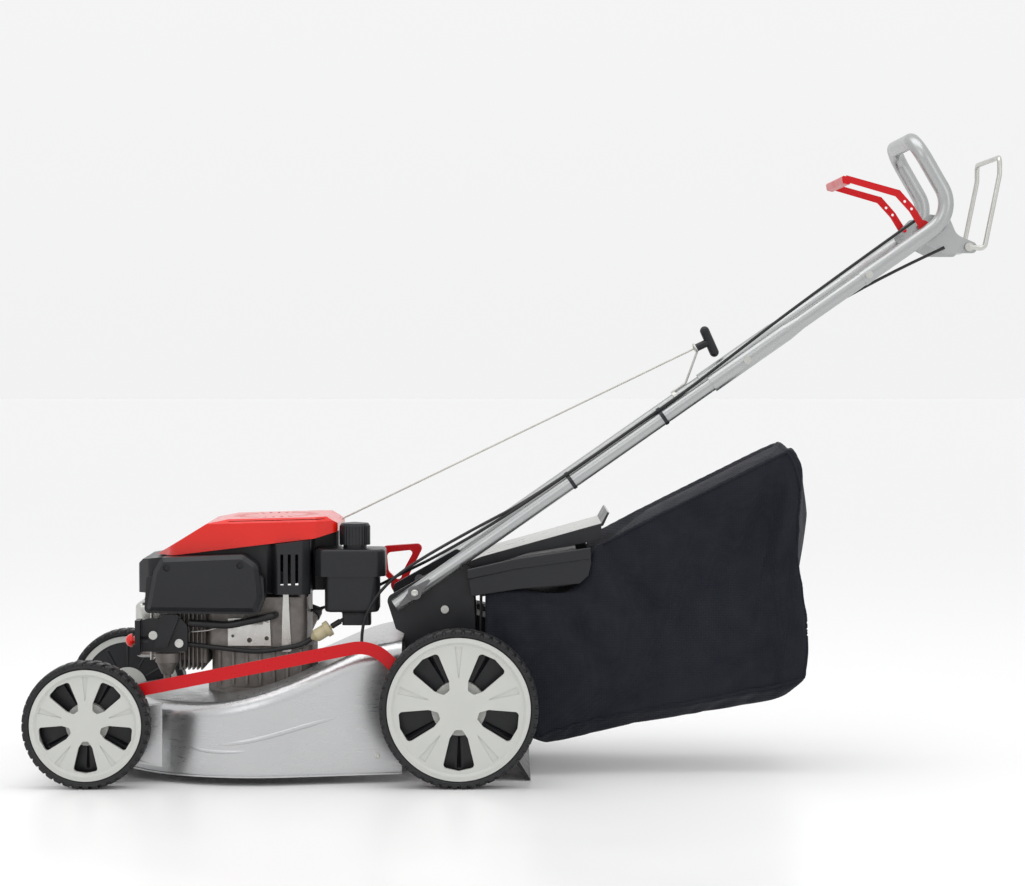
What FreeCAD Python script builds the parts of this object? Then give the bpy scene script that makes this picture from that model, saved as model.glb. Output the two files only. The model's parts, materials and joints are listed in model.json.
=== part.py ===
import FreeCAD, Part
import math
import os
import Sketcher
from FreeCAD import Placement, Rotation, Vector

# Self-propelled rotary lawn mower, in millimetres.
# +X is the direction of travel, +Y the operator's left, +Z up.
# The origin lies on the ground below the middle of the whole machine.

doc = FreeCAD.newDocument("lawn_mower")
sheet = doc.addObject("Spreadsheet::Sheet", "dim")

DIMENSIONS = [
    ("front_wheel_radius", 100.0, "front tyre, outer radius"),
    ("rear_wheel_radius", 125.0, "rear tyre, outer radius"),
    ("front_disc_radius", 87.5, "front wheel disc, outer radius"),
    ("rear_disc_radius", 112.5, "rear wheel disc, outer radius"),
    ("wheel_width", 44.0, "width of every wheel"),
    ("wheel_outer_face", 280.0, "outer face of a wheel from the middle plane"),
    ("front_axle_x", 677.8, "front wheel centres"),
    ("rear_axle_x", 94.3, "rear wheel centres"),
    ("stub_radius", 6.0, "wheel stub axle"),
    ("wheel_bore_radius", 6.05, "bore of a wheel hub"),
    ("crank_radius", 60.0, "height adjuster, pivot to wheel centre"),
    ("crank_rest_angle", 155.0, "direction of the wheel stubs from their pivots"),
    ("crank_axis_x", 412.0, "vertical crankshaft"),
    ("deck_centre_x", 418.0, "middle of the round blade housing"),
    ("deck_radius", 240.0, "outer radius of the round blade housing"),
    ("deck_rear_x", 186.0, "back edge of the deck"),
    ("deck_rear_half_width", 196.0, "half width of the deck at its back edge"),
    ("deck_rim_height", 13.0, "lower rim above the ground"),
    ("deck_plateau_height", 128.0, "engine seat above the ground"),
    ("deck_sheet", 2.5, "deck sheet thickness"),
    ("plateau_radius", 122.0, "round engine seat"),
    ("blade_half_length", 226.0, "cutting circle radius"),
    ("blade_width", 50.0, "blade width"),
    ("blade_thickness", 3.0, "blade thickness"),
    ("blade_height", 34.0, "underside of the blade above the ground"),
    ("shaft_radius", 11.0, "crankshaft"),
    ("flywheel_radius", 70.0, "flywheel"),
    ("tube_half_spacing", 132.0, "handle tubes from the middle plane"),
    ("lower_tube_radius", 11.0, "lower handle tubes"),
    ("sleeve_radius", 14.0, "widened lower end of the upper tubes"),
    ("upper_tube_radius", 11.5, "upper handle tubes"),
    ("bow_tube_radius", 12.0, "handle bow"),
    ("handle_slope", 35.0, "handle above the horizontal"),
    ("handle_pivot_x", 166.7, "handle pivot bolts"),
    ("handle_pivot_z", 297.5, "handle pivot bolts"),
    ("bracket_half_width", 119.6, "outer faces of the rear housing's side plates"),
    ("plate_thickness", 8.0, "rear housing side plates"),
    ("link_y", 226.0, "inner face of the height link bar"),
    ("link_thickness", 3.0, "height link bar"),
    ("link_width", 20.0, "height link bar"),
    ("bag_half_width", 148.0, "grass bag"),
    ("flap_half_width", 105.0, "rear discharge flap"),
    ("trailing_half_width", 188.0, "trailing flap"),
    ("bolt_radius", 4.0, "fastening screws"),
]

for row, (alias, value, note) in enumerate(DIMENSIONS, start=1):
    sheet.set("A%d" % row, note)
    sheet.set("B%d" % row, str(value))
    sheet.setAlias("B%d" % row, alias)
doc.recompute()

X_AXIS = Vector(1, 0, 0)
Y_AXIS = Vector(0, 1, 0)
Z_AXIS = Vector(0, 0, 1)
ALONG_Z = Rotation()
ALONG_Y = Rotation(X_AXIS, -90)
SIDE_VIEW = Rotation(X_AXIS, 90)
ALONG_X = Rotation(Y_AXIS, 90)

parts = []


def size(alias):
    """Read one driving dimension from the sheet."""
    return float(sheet.get(alias))


def finish(item):
    """Keep a finished sub-part; its label is the name of its file."""
    item.Label = item.Name
    parts.append(item)
    return item


# ---------------------------------------------------------------- helpers

def primitive(kind, name, at=(0, 0, 0), turn=ALONG_Z, **sizes):
    """Add a Part primitive whose sizes follow expressions on the sheet."""
    item = doc.addObject("Part::" + kind, name)
    for prop, expression in sizes.items():
        item.setExpression(prop, str(expression))
    item.Placement = Placement(Vector(*at), turn)
    return item


def cylinder(name, radius, height, at, turn=ALONG_Z):
    return primitive("Cylinder", name, at, turn, Radius=radius, Height=height)


def box(name, length, width, height, at, turn=ALONG_Z):
    return primitive("Box", name, at, turn, Length=length, Width=width, Height=height)


def cut(name, base, tool):
    item = doc.addObject("Part::Cut", name)
    item.Base = base
    item.Tool = tool
    return item


def fuse(name, pieces):
    item = doc.addObject("Part::MultiFuse", name)
    item.Shapes = pieces
    return item


def group(name, pieces):
    """Identical fasteners: separate solids that share one node."""
    item = doc.addObject("Part::Compound", name)
    item.Links = pieces
    return item


def feature(name, shape):
    """A sub-part made with Part's own functions."""
    item = doc.addObject("Part::Feature", name)
    item.Shape = shape
    return item


def new_body(name, at=(0, 0, 0), turn=ALONG_Z):
    body = doc.addObject("PartDesign::Body", name)
    body.Placement = Placement(Vector(*at), turn)
    return body


def plane_of(body, role):
    return next(item for item in body.Origin.OriginFeatures if item.Role == role)


def new_sketch(body, name, role="XY_Plane", offset=0.0):
    sketch = body.newObject("Sketcher::SketchObject", name)
    sketch.AttachmentSupport = [(plane_of(body, role), "")]
    sketch.MapMode = "FlatFace"
    sketch.AttachmentOffset = Placement(Vector(0, 0, offset), Rotation())
    return sketch


def draw_circle(sketch, radius, centre=(0.0, 0.0)):
    """Add a circle whose radius follows an expression."""
    index = sketch.addGeometry(Part.Circle(Vector(centre[0], centre[1], 0), Z_AXIS, 1.0))
    number = sketch.addConstraint(Sketcher.Constraint("Radius", index, 1.0))
    sketch.setExpression("Constraints[%d]" % number, str(radius))


def draw_outline(sketch, points):
    """Add a closed outline of straight lines."""
    first = None
    for start, end in zip(points, points[1:] + points[:1]):
        line = Part.LineSegment(Vector(start[0], start[1], 0), Vector(end[0], end[1], 0))
        index = sketch.addGeometry(line)
        if first is None:
            first = index
        else:
            sketch.addConstraint(Sketcher.Constraint("Coincident", index - 1, 2, index, 1))
    sketch.addConstraint(Sketcher.Constraint("Coincident", index, 2, first, 1))


def pad(body, sketch, name, length, midplane=False, reversed_way=False):
    item = body.newObject("PartDesign::Pad", name)
    item.Profile = sketch
    item.setExpression("Length", str(length))
    item.Midplane = midplane
    item.Reversed = reversed_way
    sketch.Visibility = False
    return item


def pocket(body, sketch, name, length, reversed_way=False):
    item = body.newObject("PartDesign::Pocket", name)
    item.Profile = sketch
    item.setExpression("Length", str(length))
    item.Reversed = reversed_way
    return item


def revolve(body, sketch, name, axis="V_Axis", angle=360):
    item = body.newObject("PartDesign::Revolution", name)
    item.Profile = sketch
    item.ReferenceAxis = (sketch, [axis])
    item.Angle = angle
    return item


def polar(body, original, name, count):
    """Repeat a feature around the body's own Z axis."""
    axis = next(item for item in body.Origin.OriginFeatures if item.Role == "Z_Axis")
    item = body.newObject("PartDesign::PolarPattern", name)
    item.Originals = [original]
    item.Axis = (axis, [""])
    item.Angle = 360
    item.Occurrences = count
    body.Tip = item
    return item


def point(x, y, z):
    return Vector(x, y, z)


def rounded_wire(points, radius, closed=False):
    """Straight runs through the points, joined by tangent arcs of one radius (or a list)."""
    count = len(points)
    radii = radius if isinstance(radius, (list, tuple)) else [radius] * count
    edges = []
    start = None
    corners = range(count) if closed else range(1, count - 1)
    ends = []
    for i in corners:
        here = points[i]
        back = (points[i - 1] - here).normalize()
        ahead = (points[(i + 1) % count] - here).normalize()
        turn = math.pi - back.getAngle(ahead)
        reach = radii[i] * math.tan(turn / 2)
        middle = (back + ahead).normalize()
        centre = here + middle * (radii[i] / math.cos(turn / 2))
        ends.append((here + back * reach, centre - middle * radii[i], here + ahead * reach))
    if closed:
        previous = ends[-1][2]
    else:
        previous = points[0]
    for enter, middle_point, leave in ends:
        if previous.distanceToPoint(enter) > 1e-6:
            edges.append(Part.LineSegment(previous, enter).toShape())
        edges.append(Part.Arc(enter, middle_point, leave).toShape())
        previous = leave
    if not closed and previous.distanceToPoint(points[-1]) > 1e-6:
        edges.append(Part.LineSegment(previous, points[-1]).toShape())
    return Part.Wire(edges)


def tube_along(points, radius, bend, inner=0.0):
    """Round bar or tube along straight runs and arcs."""
    path = rounded_wire(points, bend)
    first = points[0]
    heading = (points[1] - points[0]).normalize()
    outside = Part.Wire(Part.makeCircle(radius, first, heading))
    solid = path.makePipeShell([outside], True, False)
    if inner > 0:
        inside = Part.Wire(Part.makeCircle(inner, first, heading))
        solid = solid.cut(path.makePipeShell([inside], True, False))
    return solid


def side_prism(outline, y_low, y_high, radii=0.0):
    """Solid with an outline in the side view (x, z) between two widths."""
    corners = [point(x, y_low, z) for x, z in outline]
    if isinstance(radii, (list, tuple)) or radii > 0:
        wire = rounded_wire(corners, radii, closed=True)
    else:
        wire = Part.makePolygon(corners + corners[:1])
    return Part.Face(wire).extrude(Vector(0, y_high - y_low, 0))


def plan_prism(outline, z_low, z_high, radii=0.0):
    """Solid with an outline in plan (x, y) between two heights."""
    corners = [point(x, y, z_low) for x, y in outline]
    if isinstance(radii, (list, tuple)) or radii > 0:
        wire = rounded_wire(corners, radii, closed=True)
    else:
        wire = Part.makePolygon(corners + corners[:1])
    return Part.Face(wire).extrude(Vector(0, 0, z_high - z_low))


def rod(start, end, radius):
    """Round bar between two points."""
    way = end - start
    return Part.makeCylinder(radius, way.Length, start, way)


def mirrored_y(shape):
    """The same shape on the other side of the middle plane."""
    return shape.mirror(Vector(0, 0, 0), Y_AXIS)


def soften(shape, radius, chooser):
    """Round the edges that the chooser picks."""
    edges = [edge for edge in shape.Edges if chooser(edge)]
    return shape.makeFillet(radius, edges)


def along_axis(edge, axis):
    """True for a straight edge parallel to an axis."""
    if not isinstance(edge.Curve, (Part.Line, Part.LineSegment)):
        return False
    way = edge.Vertexes[-1].Point - edge.Vertexes[0].Point
    return way.Length > 1 and abs(abs(way.normalize().dot(axis)) - 1) < 1e-6


# ---------------------------------------------------------------- wheels

WHEEL_INNER_FACE = size("wheel_outer_face") - size("wheel_width")


def round_corners(body, name, reach_low, reach_high, radius):
    """Round the upright edges that lie between two distances from the axis."""
    base = body.Tip
    names = []
    for number, edge in enumerate(base.Shape.Edges, start=1):
        middle = edge.CenterOfMass
        reach = math.hypot(middle.x, middle.y)
        if along_axis(edge, Z_AXIS) and reach_low < reach < reach_high and middle.z > 30:
            names.append("Edge%d" % number)
    rounding = body.newObject("PartDesign::Fillet", name)
    rounding.Base = (base, names)
    rounding.Radius = radius
    body.Tip = rounding
    doc.recompute()


def wheel_disc(name, radius, at, turn, first_angle):
    """Five-spoke plastic disc; local Z is the wheel's axis, pointing outward."""
    body = new_body(name, at, turn)
    rim = size(radius)
    bore = size("wheel_bore_radius")
    hub = 0.385 * rim
    profile = new_sketch(body, name + "_profile", "XZ_Plane")
    draw_outline(profile, [(0, 35), (bore, 35), (bore, 2), (hub, 2), (hub, 20), (14, 22),
                           (14, 31), (rim - 10, 31), (rim - 10, 4), (rim, 4), (rim, 42),
                           (rim - 7, 42.5), (rim - 11, 38.5), (0, 38.5)])
    revolve(body, profile, name + "_turned")
    doc.recompute()

    def place(reach, degrees):
        angle = math.radians(first_angle + degrees)
        return (reach * rim * math.cos(angle), reach * rim * math.sin(angle))

    window = new_sketch(body, name + "_window", "XY_Plane", 38.5)
    draw_outline(window, [place(0.84, -15.5), place(0.86, 0), place(0.84, 15.5),
                          place(0.42, 17.5), place(0.29, 10), place(0.29, -10), place(0.42, -17.5)])
    opening = pocket(body, window, name + "_opening", 7.5)
    polar(body, opening, name + "_openings", 5)
    doc.recompute()
    round_corners(body, name + "_outer_corners", 0.80 * rim, 0.855 * rim, 0.055 * rim)
    round_corners(body, name + "_inner_corners", 0.25 * rim, 0.33 * rim, 0.035 * rim)
    groove = new_sketch(body, name + "_groove", "XY_Plane", 38.5)
    draw_outline(groove, [place(0.87, 32.5), place(0.87, 39.5), place(0.45, 37), place(0.45, 35)])
    slot = pocket(body, groove, name + "_slot", 1.6)
    polar(body, slot, name + "_slots", 5)
    return finish(body)


def tyre(name, disc_radius, tyre_radius, at, turn):
    """Rubber tyre pressed over the disc's rim."""
    body = new_body(name, at, turn)
    low = size(disc_radius)
    high = size(tyre_radius)
    width = size("wheel_width")
    profile = new_sketch(body, name + "_profile", "XZ_Plane")
    draw_outline(profile, [(low, 4), (low + 3, 1), (high - 4, 0), (high, 4), (high, width - 4),
                           (high - 4, width), (low + 3, width - 1), (low, 42)])
    revolve(body, profile, name + "_turned")
    return finish(body)


def wheel(place, disc_radius, tyre_radius, axle_x, side):
    height = size(tyre_radius)
    at = (size(axle_x), side * WHEEL_INNER_FACE, height)
    turn = ALONG_Y if side > 0 else SIDE_VIEW
    wheel_disc(place + "_disc", disc_radius, at, turn, 90 * side)
    tyre(place + "_tyre", disc_radius, tyre_radius, at, turn)


for side, word in ((1, "left"), (-1, "right")):
    wheel("front_" + word, "front_disc_radius", "front_wheel_radius", "front_axle_x", side)
    wheel("rear_" + word, "rear_disc_radius", "rear_wheel_radius", "rear_axle_x", side)


# ---------------------------------------------------------------- height adjuster

def pivot_of(axle_x, axle_z):
    """Where the crank of a wheel stub turns in the deck."""
    angle = math.radians(size("crank_rest_angle"))
    reach = size("crank_radius")
    return axle_x - reach * math.cos(angle), axle_z - reach * math.sin(angle)


FRONT_PIVOT = pivot_of(size("front_axle_x"), size("front_wheel_radius"))
REAR_PIVOT = pivot_of(size("rear_axle_x"), size("rear_wheel_radius"))
LINK_OFFSET = (5.0, 47.0)
LINK_FRONT = (FRONT_PIVOT[0] + LINK_OFFSET[0], FRONT_PIVOT[1] + LINK_OFFSET[1])
LINK_REAR = (REAR_PIVOT[0] + LINK_OFFSET[0], REAR_PIVOT[1] + LINK_OFFSET[1])
ARM_Y = 214.0
STUB_END = WHEEL_INNER_FACE + 34.0
PIN_RADIUS = 4.0


def lever_plate(ends, radii, y_low, thickness):
    """Flat plate round two or more pins in the side view."""
    pieces = []
    for (x, z), radius in zip(ends, radii):
        pieces.append(Part.makeCylinder(radius, thickness, point(x, y_low, z), Y_AXIS))
    for (start, end, r_start, r_end) in zip(ends, ends[1:], radii, radii[1:]):
        way = Vector(end[0] - start[0], 0, end[1] - start[1]).normalize()
        across = Vector(-way.z, 0, way.x)
        a = point(start[0], y_low, start[1])
        b = point(end[0], y_low, end[1])
        corners = [a + across * r_start, b + across * r_end, b - across * r_end, a - across * r_start]
        face = Part.Face(Part.makePolygon(corners + corners[:1]))
        pieces.append(face.extrude(Vector(0, thickness, 0)))
    return pieces[0].fuse(pieces[1:]).removeSplitter()


def front_axle():
    """One bent bar: the pivot run, two cranks and two wheel stubs, with the link's lug."""
    radius = size("stub_radius")
    x, z = size("front_axle_x"), size("front_wheel_radius")
    px, pz = FRONT_PIVOT
    bar = tube_along([point(x, STUB_END, z), point(x, ARM_Y, z), point(px, ARM_Y, pz),
                      point(px, -ARM_Y, pz), point(x, -ARM_Y, z), point(x, -STUB_END, z)],
                     radius, 9.0)
    lug = lever_plate([(px, pz), LINK_FRONT], [11.0, 8.0], ARM_Y + 3.0, 5.0)
    pin = Part.makeCylinder(PIN_RADIUS, 10.0, point(LINK_FRONT[0], ARM_Y + 6.0, LINK_FRONT[1]), Y_AXIS)
    return finish(feature("front_axle", bar.fuse([lug, pin]).removeSplitter()))


def rear_carrier():
    """Two arms that swing about the drive shaft, tied by a bar below it."""
    x, z = size("rear_axle_x"), size("rear_wheel_radius")
    px, pz = REAR_PIVOT
    tie = (px - 15.0, pz - 26.0)
    pieces = []
    for side in (1, -1):
        y_low = ARM_Y if side > 0 else -ARM_Y - 4.0
        plate = lever_plate([(x, z), (px, pz), tie], [14.0, 20.0, 9.0], y_low, 4.0)
        if side > 0:
            plate = plate.fuse(lever_plate([(px, pz), LINK_REAR], [20.0, 9.0], y_low, 4.0))
            pin = Part.makeCylinder(PIN_RADIUS, 14.0, point(LINK_REAR[0], y_low + 2.0, LINK_REAR[1]), Y_AXIS)
            plate = plate.fuse(pin)
        pieces.append(plate)
    pieces.append(rod(point(tie[0], -ARM_Y, tie[1]), point(tie[0], ARM_Y, tie[1]), 5.0))
    shape = pieces[0].fuse(pieces[1:]).removeSplitter()
    holes = rod(point(px, -260, pz), point(px, 260, pz), 7.05)
    bolts = rod(point(x, -260, z), point(x, 260, z), size("stub_radius"))
    return finish(feature("rear_carrier", shape.cut([holes, bolts])))


def rear_wheel_bolts():
    """Shoulder bolts that the rear wheels turn on, heads inside the arms."""
    pieces = []
    x, z = size("rear_axle_x"), size("rear_wheel_radius")
    for side in (1, -1):
        head = cylinder("rear_bolt_head_%d" % (side + 1), 9, 5, (x, side * (ARM_Y - 5.2), z),
                        ALONG_Y if side > 0 else SIDE_VIEW)
        shank = cylinder("rear_bolt_shank_%d" % (side + 1), "dim.stub_radius", STUB_END - ARM_Y + 0.2,
                         (x, side * (ARM_Y - 0.2), z), ALONG_Y if side > 0 else SIDE_VIEW)
        pieces.append(fuse("rear_bolt_%d" % (side + 1), [head, shank]))
    return finish(group("rear_wheel_bolts", pieces))


def height_lever():
    """Plate with a loop grip that swings the rear carrier, on the right side."""
    px, pz = REAR_PIVOT
    y_low = -ARM_Y - 4.0 + 4.4
    plate = lever_plate([(px, pz), (186.0, 240.0), (206.0, 280.0)], [20.0, 11.0, 13.0], y_low, 5.0)
    loop = side_prism([(197, 262), (232, 300), (237, 347), (160, 352), (186, 300)],
                      y_low - 4.0, y_low + 9.0, [10, 14, 12, 8, 12])
    hole = side_prism([(203, 284), (223, 304), (226, 336), (178, 341), (198, 304)],
                      y_low - 10.0, y_low + 20.0, [6, 10, 8, 5, 8])
    shape = plate.fuse(loop).cut(hole).removeSplitter()
    shape = shape.cut(rod(point(px, -260, pz), point(px, -150, pz), 7.05))
    return finish(feature("height_lever", shape))


def link_bar():
    """Flat bar that makes the front and rear cranks turn together."""
    width = size("link_width")
    y_low = size("link_y")
    y_high = y_low + size("link_thickness")
    spine = [LINK_FRONT, (600.0, 150.0), (232.0, 222.0), LINK_REAR]
    path = rounded_wire([point(x, y_low, z) for x, z in spine], [120.0, 62.0, 62.0, 62.0])
    start = point(LINK_FRONT[0], y_low, LINK_FRONT[1])
    heading = (point(600.0, y_low, 150.0) - start).normalize()
    across = Vector(-heading.z, 0, heading.x) * (width / 2)
    thick = Vector(0, size("link_thickness"), 0)
    corners = [start + across, start + across + thick, start - across + thick, start - across]
    strip = path.makePipeShell([Part.makePolygon(corners + corners[:1])], True, False)
    ends = [Part.makeCylinder(width / 2, y_high - y_low, point(x, y_low, z), Y_AXIS)
            for x, z in (LINK_FRONT, LINK_REAR)]
    holes = [Part.makeCylinder(PIN_RADIUS + clearance, 40, point(x, y_low - 10, z), Y_AXIS)
             for (x, z), clearance in ((LINK_FRONT, 0.05), (LINK_REAR, 0.5))]
    return finish(feature("link_bar", strip.fuse(ends).removeSplitter().cut(holes)))


front_axle()
rear_carrier()
rear_wheel_bolts()
height_lever()
link_bar()


# ---------------------------------------------------------------- deck

def deck_outline(inset):
    """Round blade housing that runs back into a straight tail, in plan."""
    radius = size("deck_radius") - inset
    centre = size("deck_centre_x")
    tail_x = size("deck_rear_x")
    tail_y = size("deck_rear_half_width") - inset
    reach = math.hypot(tail_x - centre, tail_y)
    angle = math.atan2(tail_y, tail_x - centre) - math.acos(radius / reach)
    left_point = point(centre + radius * math.cos(angle), radius * math.sin(angle), 0)
    right_point = point(left_point.x, -left_point.y, 0)
    front = point(centre + radius, 0, 0)
    tail_left = point(tail_x, tail_y, 0)
    tail_right = point(tail_x, -tail_y, 0)
    return Part.Wire([Part.Arc(right_point, front, left_point).toShape(),
                      Part.LineSegment(left_point, tail_left).toShape(),
                      Part.LineSegment(tail_left, tail_right).toShape(),
                      Part.LineSegment(tail_right, right_point).toShape()])


CABLE_HOLE = (253.0, 123.0)
DECK_TOP = [(670, 116), (600, 127), (500, 128), (440, 137), (352, 165), (296, 190), (240, 213),
            (200, 222), (120, 224)]


def deck_solid(inset, rim):
    """Outside of the deck, or its inside when inset by the sheet thickness."""
    low = size("deck_rim_height") - rim
    block = Part.Face(deck_outline(inset)).extrude(Vector(0, 0, 300))
    block.translate(Vector(0, 0, low))
    top = [point(x, -400, z - inset) for x, z in DECK_TOP]
    curve = Part.BSplineCurve()
    curve.interpolate(top)
    lower = [point(top[-1].x, -400, -50), point(top[0].x, -400, -50)]
    side = Part.Wire([curve.toShape(), Part.LineSegment(top[-1], lower[0]).toShape(),
                      Part.LineSegment(lower[0], lower[1]).toShape(),
                      Part.LineSegment(lower[1], top[0]).toShape()])
    body = block.common(Part.Face(side).extrude(Vector(0, 800, 0)))
    upper = [edge for edge in body.Edges
             if edge.BoundBox.ZMin > 90 and edge.BoundBox.YLength > 40
             and edge.CenterOfMass.x > size("deck_rear_x") + 1]
    body = body.makeFillet(24.0 - inset, upper)
    seat = Part.makeCylinder(size("plateau_radius") + inset, 200,
                             point(size("crank_axis_x"), 0, size("deck_plateau_height") - inset))
    return body.cut(seat)


def deck_housing():
    """Pressed steel shell with a turned-out rim and two pressed side beads."""
    sheet_gap = size("deck_sheet")
    outside = deck_solid(0.0, 0.0)
    inside = deck_solid(sheet_gap, 40.0)
    chute = Part.makeBox(30, 2 * size("bracket_half_width") - 30, 165,
                         point(size("deck_rear_x") - 20, -size("bracket_half_width") + 15, 40))
    cable_hole = rod(point(CABLE_HOLE[0], CABLE_HOLE[1], 150), point(CABLE_HOLE[0], CABLE_HOLE[1], 260), 3.2)
    rim_low = size("deck_rim_height")
    rim_plate = Part.Face(deck_outline(-5.0)).extrude(Vector(0, 0, sheet_gap))
    rim_plate.translate(Vector(0, 0, rim_low))
    rim_hole = Part.Face(deck_outline(1.0)).extrude(Vector(0, 0, 50))
    shell = outside.fuse(rim_plate.cut(rim_hole)).cut(inside).cut([chute, cable_hole])
    crank_hole = Part.makeCylinder(32, 60, point(size("crank_axis_x"), 0, 90))
    shell = shell.cut(crank_hole)
    return finish(feature("deck_housing", shell))


deck_housing()


def axle_bracket():
    """Folded steel bracket in front of the deck that carries the front axle."""
    px, pz = FRONT_PIVOT
    outer = side_prism([(566, 24), (742, 50), (748, 90), (700, 104), (566, 126)], -203.0, 203.0)
    inner = side_prism([(560, 10), (739, 47), (745, 87), (699, 101), (560, 122)], -200.0, 200.0)
    deck_space = Part.makeCylinder(size("deck_radius") + 6.0, 200, point(size("deck_centre_x"), 0, 0))
    shell = outer.cut([inner, deck_space])
    axle_hole = rod(point(px, -260, pz), point(px, 260, pz), size("stub_radius") + 0.05)
    return finish(feature("axle_bracket", shell.cut(axle_hole)))


def rear_housing():
    """Two side plates with the discharge chute between them."""
    half = size("bracket_half_width")
    thick = size("plate_thickness")
    outline = [(214, 287), (104, 349), (76, 335), (70, 250), (70, 84), (172, 84), (183, 102), (183, 228),
               (198, 236)]
    plate = side_prism(outline, half - thick, half, [12, 6, 6, 20, 6, 6, 6, 6, 6])
    chute = side_prism([(72, 226), (176, 226), (176, 229), (72, 229)], -half + thick, half - thick)
    cross = side_prism([(176, 262), (190, 262), (190, 274), (176, 274)], -half + thick, half - thick)
    floor = side_prism([(72, 118), (114, 122), (114, 125), (72, 121)], -half + thick, half - thick)
    shape = plate.fuse([mirrored_y(plate), chute, cross, floor])
    px, pz = REAR_PIVOT
    holes = [rod(point(px, -200, pz), point(px, 200, pz), 7.05),
             rod(point(FLAP_HINGE[0], -200, FLAP_HINGE[1]), point(FLAP_HINGE[0], 200, FLAP_HINGE[1]), 3.05),
             rod(point(TRAIL_HINGE[0], -200, TRAIL_HINGE[1]), point(TRAIL_HINGE[0], 200, TRAIL_HINGE[1]), 3.05),
             rod(point(HANDLE_PIVOT[0], -200, HANDLE_PIVOT[1]), point(HANDLE_PIVOT[0], 200, HANDLE_PIVOT[1]), 4.05)]
    holes.append(rod(point(119, -200, 268), point(119, 200, 268), 3.0))
    return finish(feature("rear_housing", shape.removeSplitter().cut(holes)))


FLAP_HINGE = (97.0, 330.0)
TRAIL_HINGE = (86.0, 95.0)
HANDLE_PIVOT = (size("handle_pivot_x"), size("handle_pivot_z"))


def screw(name, at, turn, radius="dim.bolt_radius", head="7", shank=6.0, head_height=4.0):
    """Hexagon-washer screw, its head at the given point and its shank behind it."""
    top = cylinder(name + "_head", head, head_height, at, turn)
    back = Vector(*at) - turn.multVec(Z_AXIS) * shank
    stem = cylinder(name + "_shank", radius, shank + 0.5, (back.x, back.y, back.z), turn)
    return fuse(name, [top, stem])


# ---------------------------------------------------------------- crankshaft and blade

CRANK_X = size("crank_axis_x")


def crankshaft():
    """Turned shaft with its flywheel seat and the blade end."""
    body = new_body("crankshaft", (CRANK_X, 0, 0))
    profile = new_sketch(body, "crankshaft_profile", "XZ_Plane")
    draw_outline(profile, [(0, 46), (11, 46), (11, 132), (17, 132), (17, 150), (40, 150), (40, 170),
                           (17, 170), (17, 285), (9, 300), (9, 352), (0, 352)])
    revolve(body, profile, "crankshaft_turned")
    return finish(body)


def flywheel():
    """Cast wheel with cooling vanes that also blow the engine's air."""
    body = new_body("flywheel", (CRANK_X, 0, 0))
    profile = new_sketch(body, "flywheel_profile", "XZ_Plane")
    rim = size("flywheel_radius")
    draw_outline(profile, [(9.0, 312), (rim - 8, 312), (rim - 8, 304), (rim, 304), (rim, 324), (9.0, 324)])
    revolve(body, profile, "flywheel_turned")
    doc.recompute()
    vane = new_sketch(body, "flywheel_vane", "XY_Plane", 323.5)
    draw_outline(vane, [(44, -1.5), (rim - 6, 4), (rim - 6, 7), (44, 1.5)])
    raised = pad(body, vane, "flywheel_vane_pad", 14.5)
    polar(body, raised, "flywheel_vanes", 12)
    return finish(body)


def blade_adapter():
    """Boss on the shaft's end that carries the blade, with the belt pulley above it."""
    body = new_body("blade_adapter", (CRANK_X, 0, 0))
    profile = new_sketch(body, "blade_adapter_profile", "XZ_Plane")
    draw_outline(profile, [(11, 38), (28, 38), (28, 44), (16, 48), (16, 62), (30, 62), (30, 65),
                           (22, 70), (22, 74), (30, 79), (30, 82), (16, 82), (16, 88), (11, 88)])
    revolve(body, profile, "blade_adapter_turned")
    return finish(body)


def blade():
    """Flat bar with turned-up wings and sharpened leading edges."""
    reach = size("blade_half_length")
    half = size("blade_width") / 2
    low = size("blade_height")
    thick = size("blade_thickness")
    bar = Part.makeBox(2 * reach, 2 * half, thick, point(-reach, -half, low))
    corners = bar.common(Part.makeCylinder(reach, 40, point(0, 0, low - 5)))
    wing = Part.makePolygon([point(0, half - 2, low), point(0, half + 14, low + 14),
                             point(0, half + 12, low + 16.5), point(0, half - 4, low + thick),
                             point(0, half - 2, low)])
    lift = Part.Face(wing).extrude(Vector(62, 0, 0))
    lift.translate(Vector(reach - 78, 0, 0))
    other = lift.copy()
    other.rotate(Vector(0, 0, 0), Z_AXIS, 180)
    edge = Part.makePolygon([point(0, -half - 1, low - 1), point(0, -half + 9, low - 1),
                             point(0, -half - 1, low + thick + 0.2), point(0, -half - 1, low - 1)])
    bevel = Part.Face(edge).extrude(Vector(90, 0, 0))
    bevel.translate(Vector(reach - 90, 0, 0))
    bevel_other = bevel.copy()
    bevel_other.rotate(Vector(0, 0, 0), Z_AXIS, 180)
    hole = Part.makeCylinder(6, 20, point(0, 0, low - 5))
    shape = corners.fuse([lift, other]).cut([bevel, bevel_other, hole])
    shape.translate(Vector(CRANK_X, 0, 0))
    return finish(feature("blade", shape))


def blade_bolt():
    low = size("blade_height")
    washer = cylinder("blade_bolt_washer", 17, 3, (CRANK_X, 0, low - 3.0))
    head = primitive("Prism", "blade_bolt_head", (CRANK_X, 0, low - 11), ALONG_Z,
                     Circumradius=10, Height=8.5)
    stem = cylinder("blade_bolt_shank", 6, 15, (CRANK_X, 0, low - 3.0))
    return finish(fuse("blade_bolt", [washer, head, stem]))


# ---------------------------------------------------------------- engine

def cast_block(x0, x1, y0, y1, z0, z1, radius):
    """Block with rounded upright edges."""
    shape = Part.makeBox(x1 - x0, y1 - y0, z1 - z0, point(x0, y0, z0))
    return soften(shape, radius, lambda edge: along_axis(edge, Z_AXIS))


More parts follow.
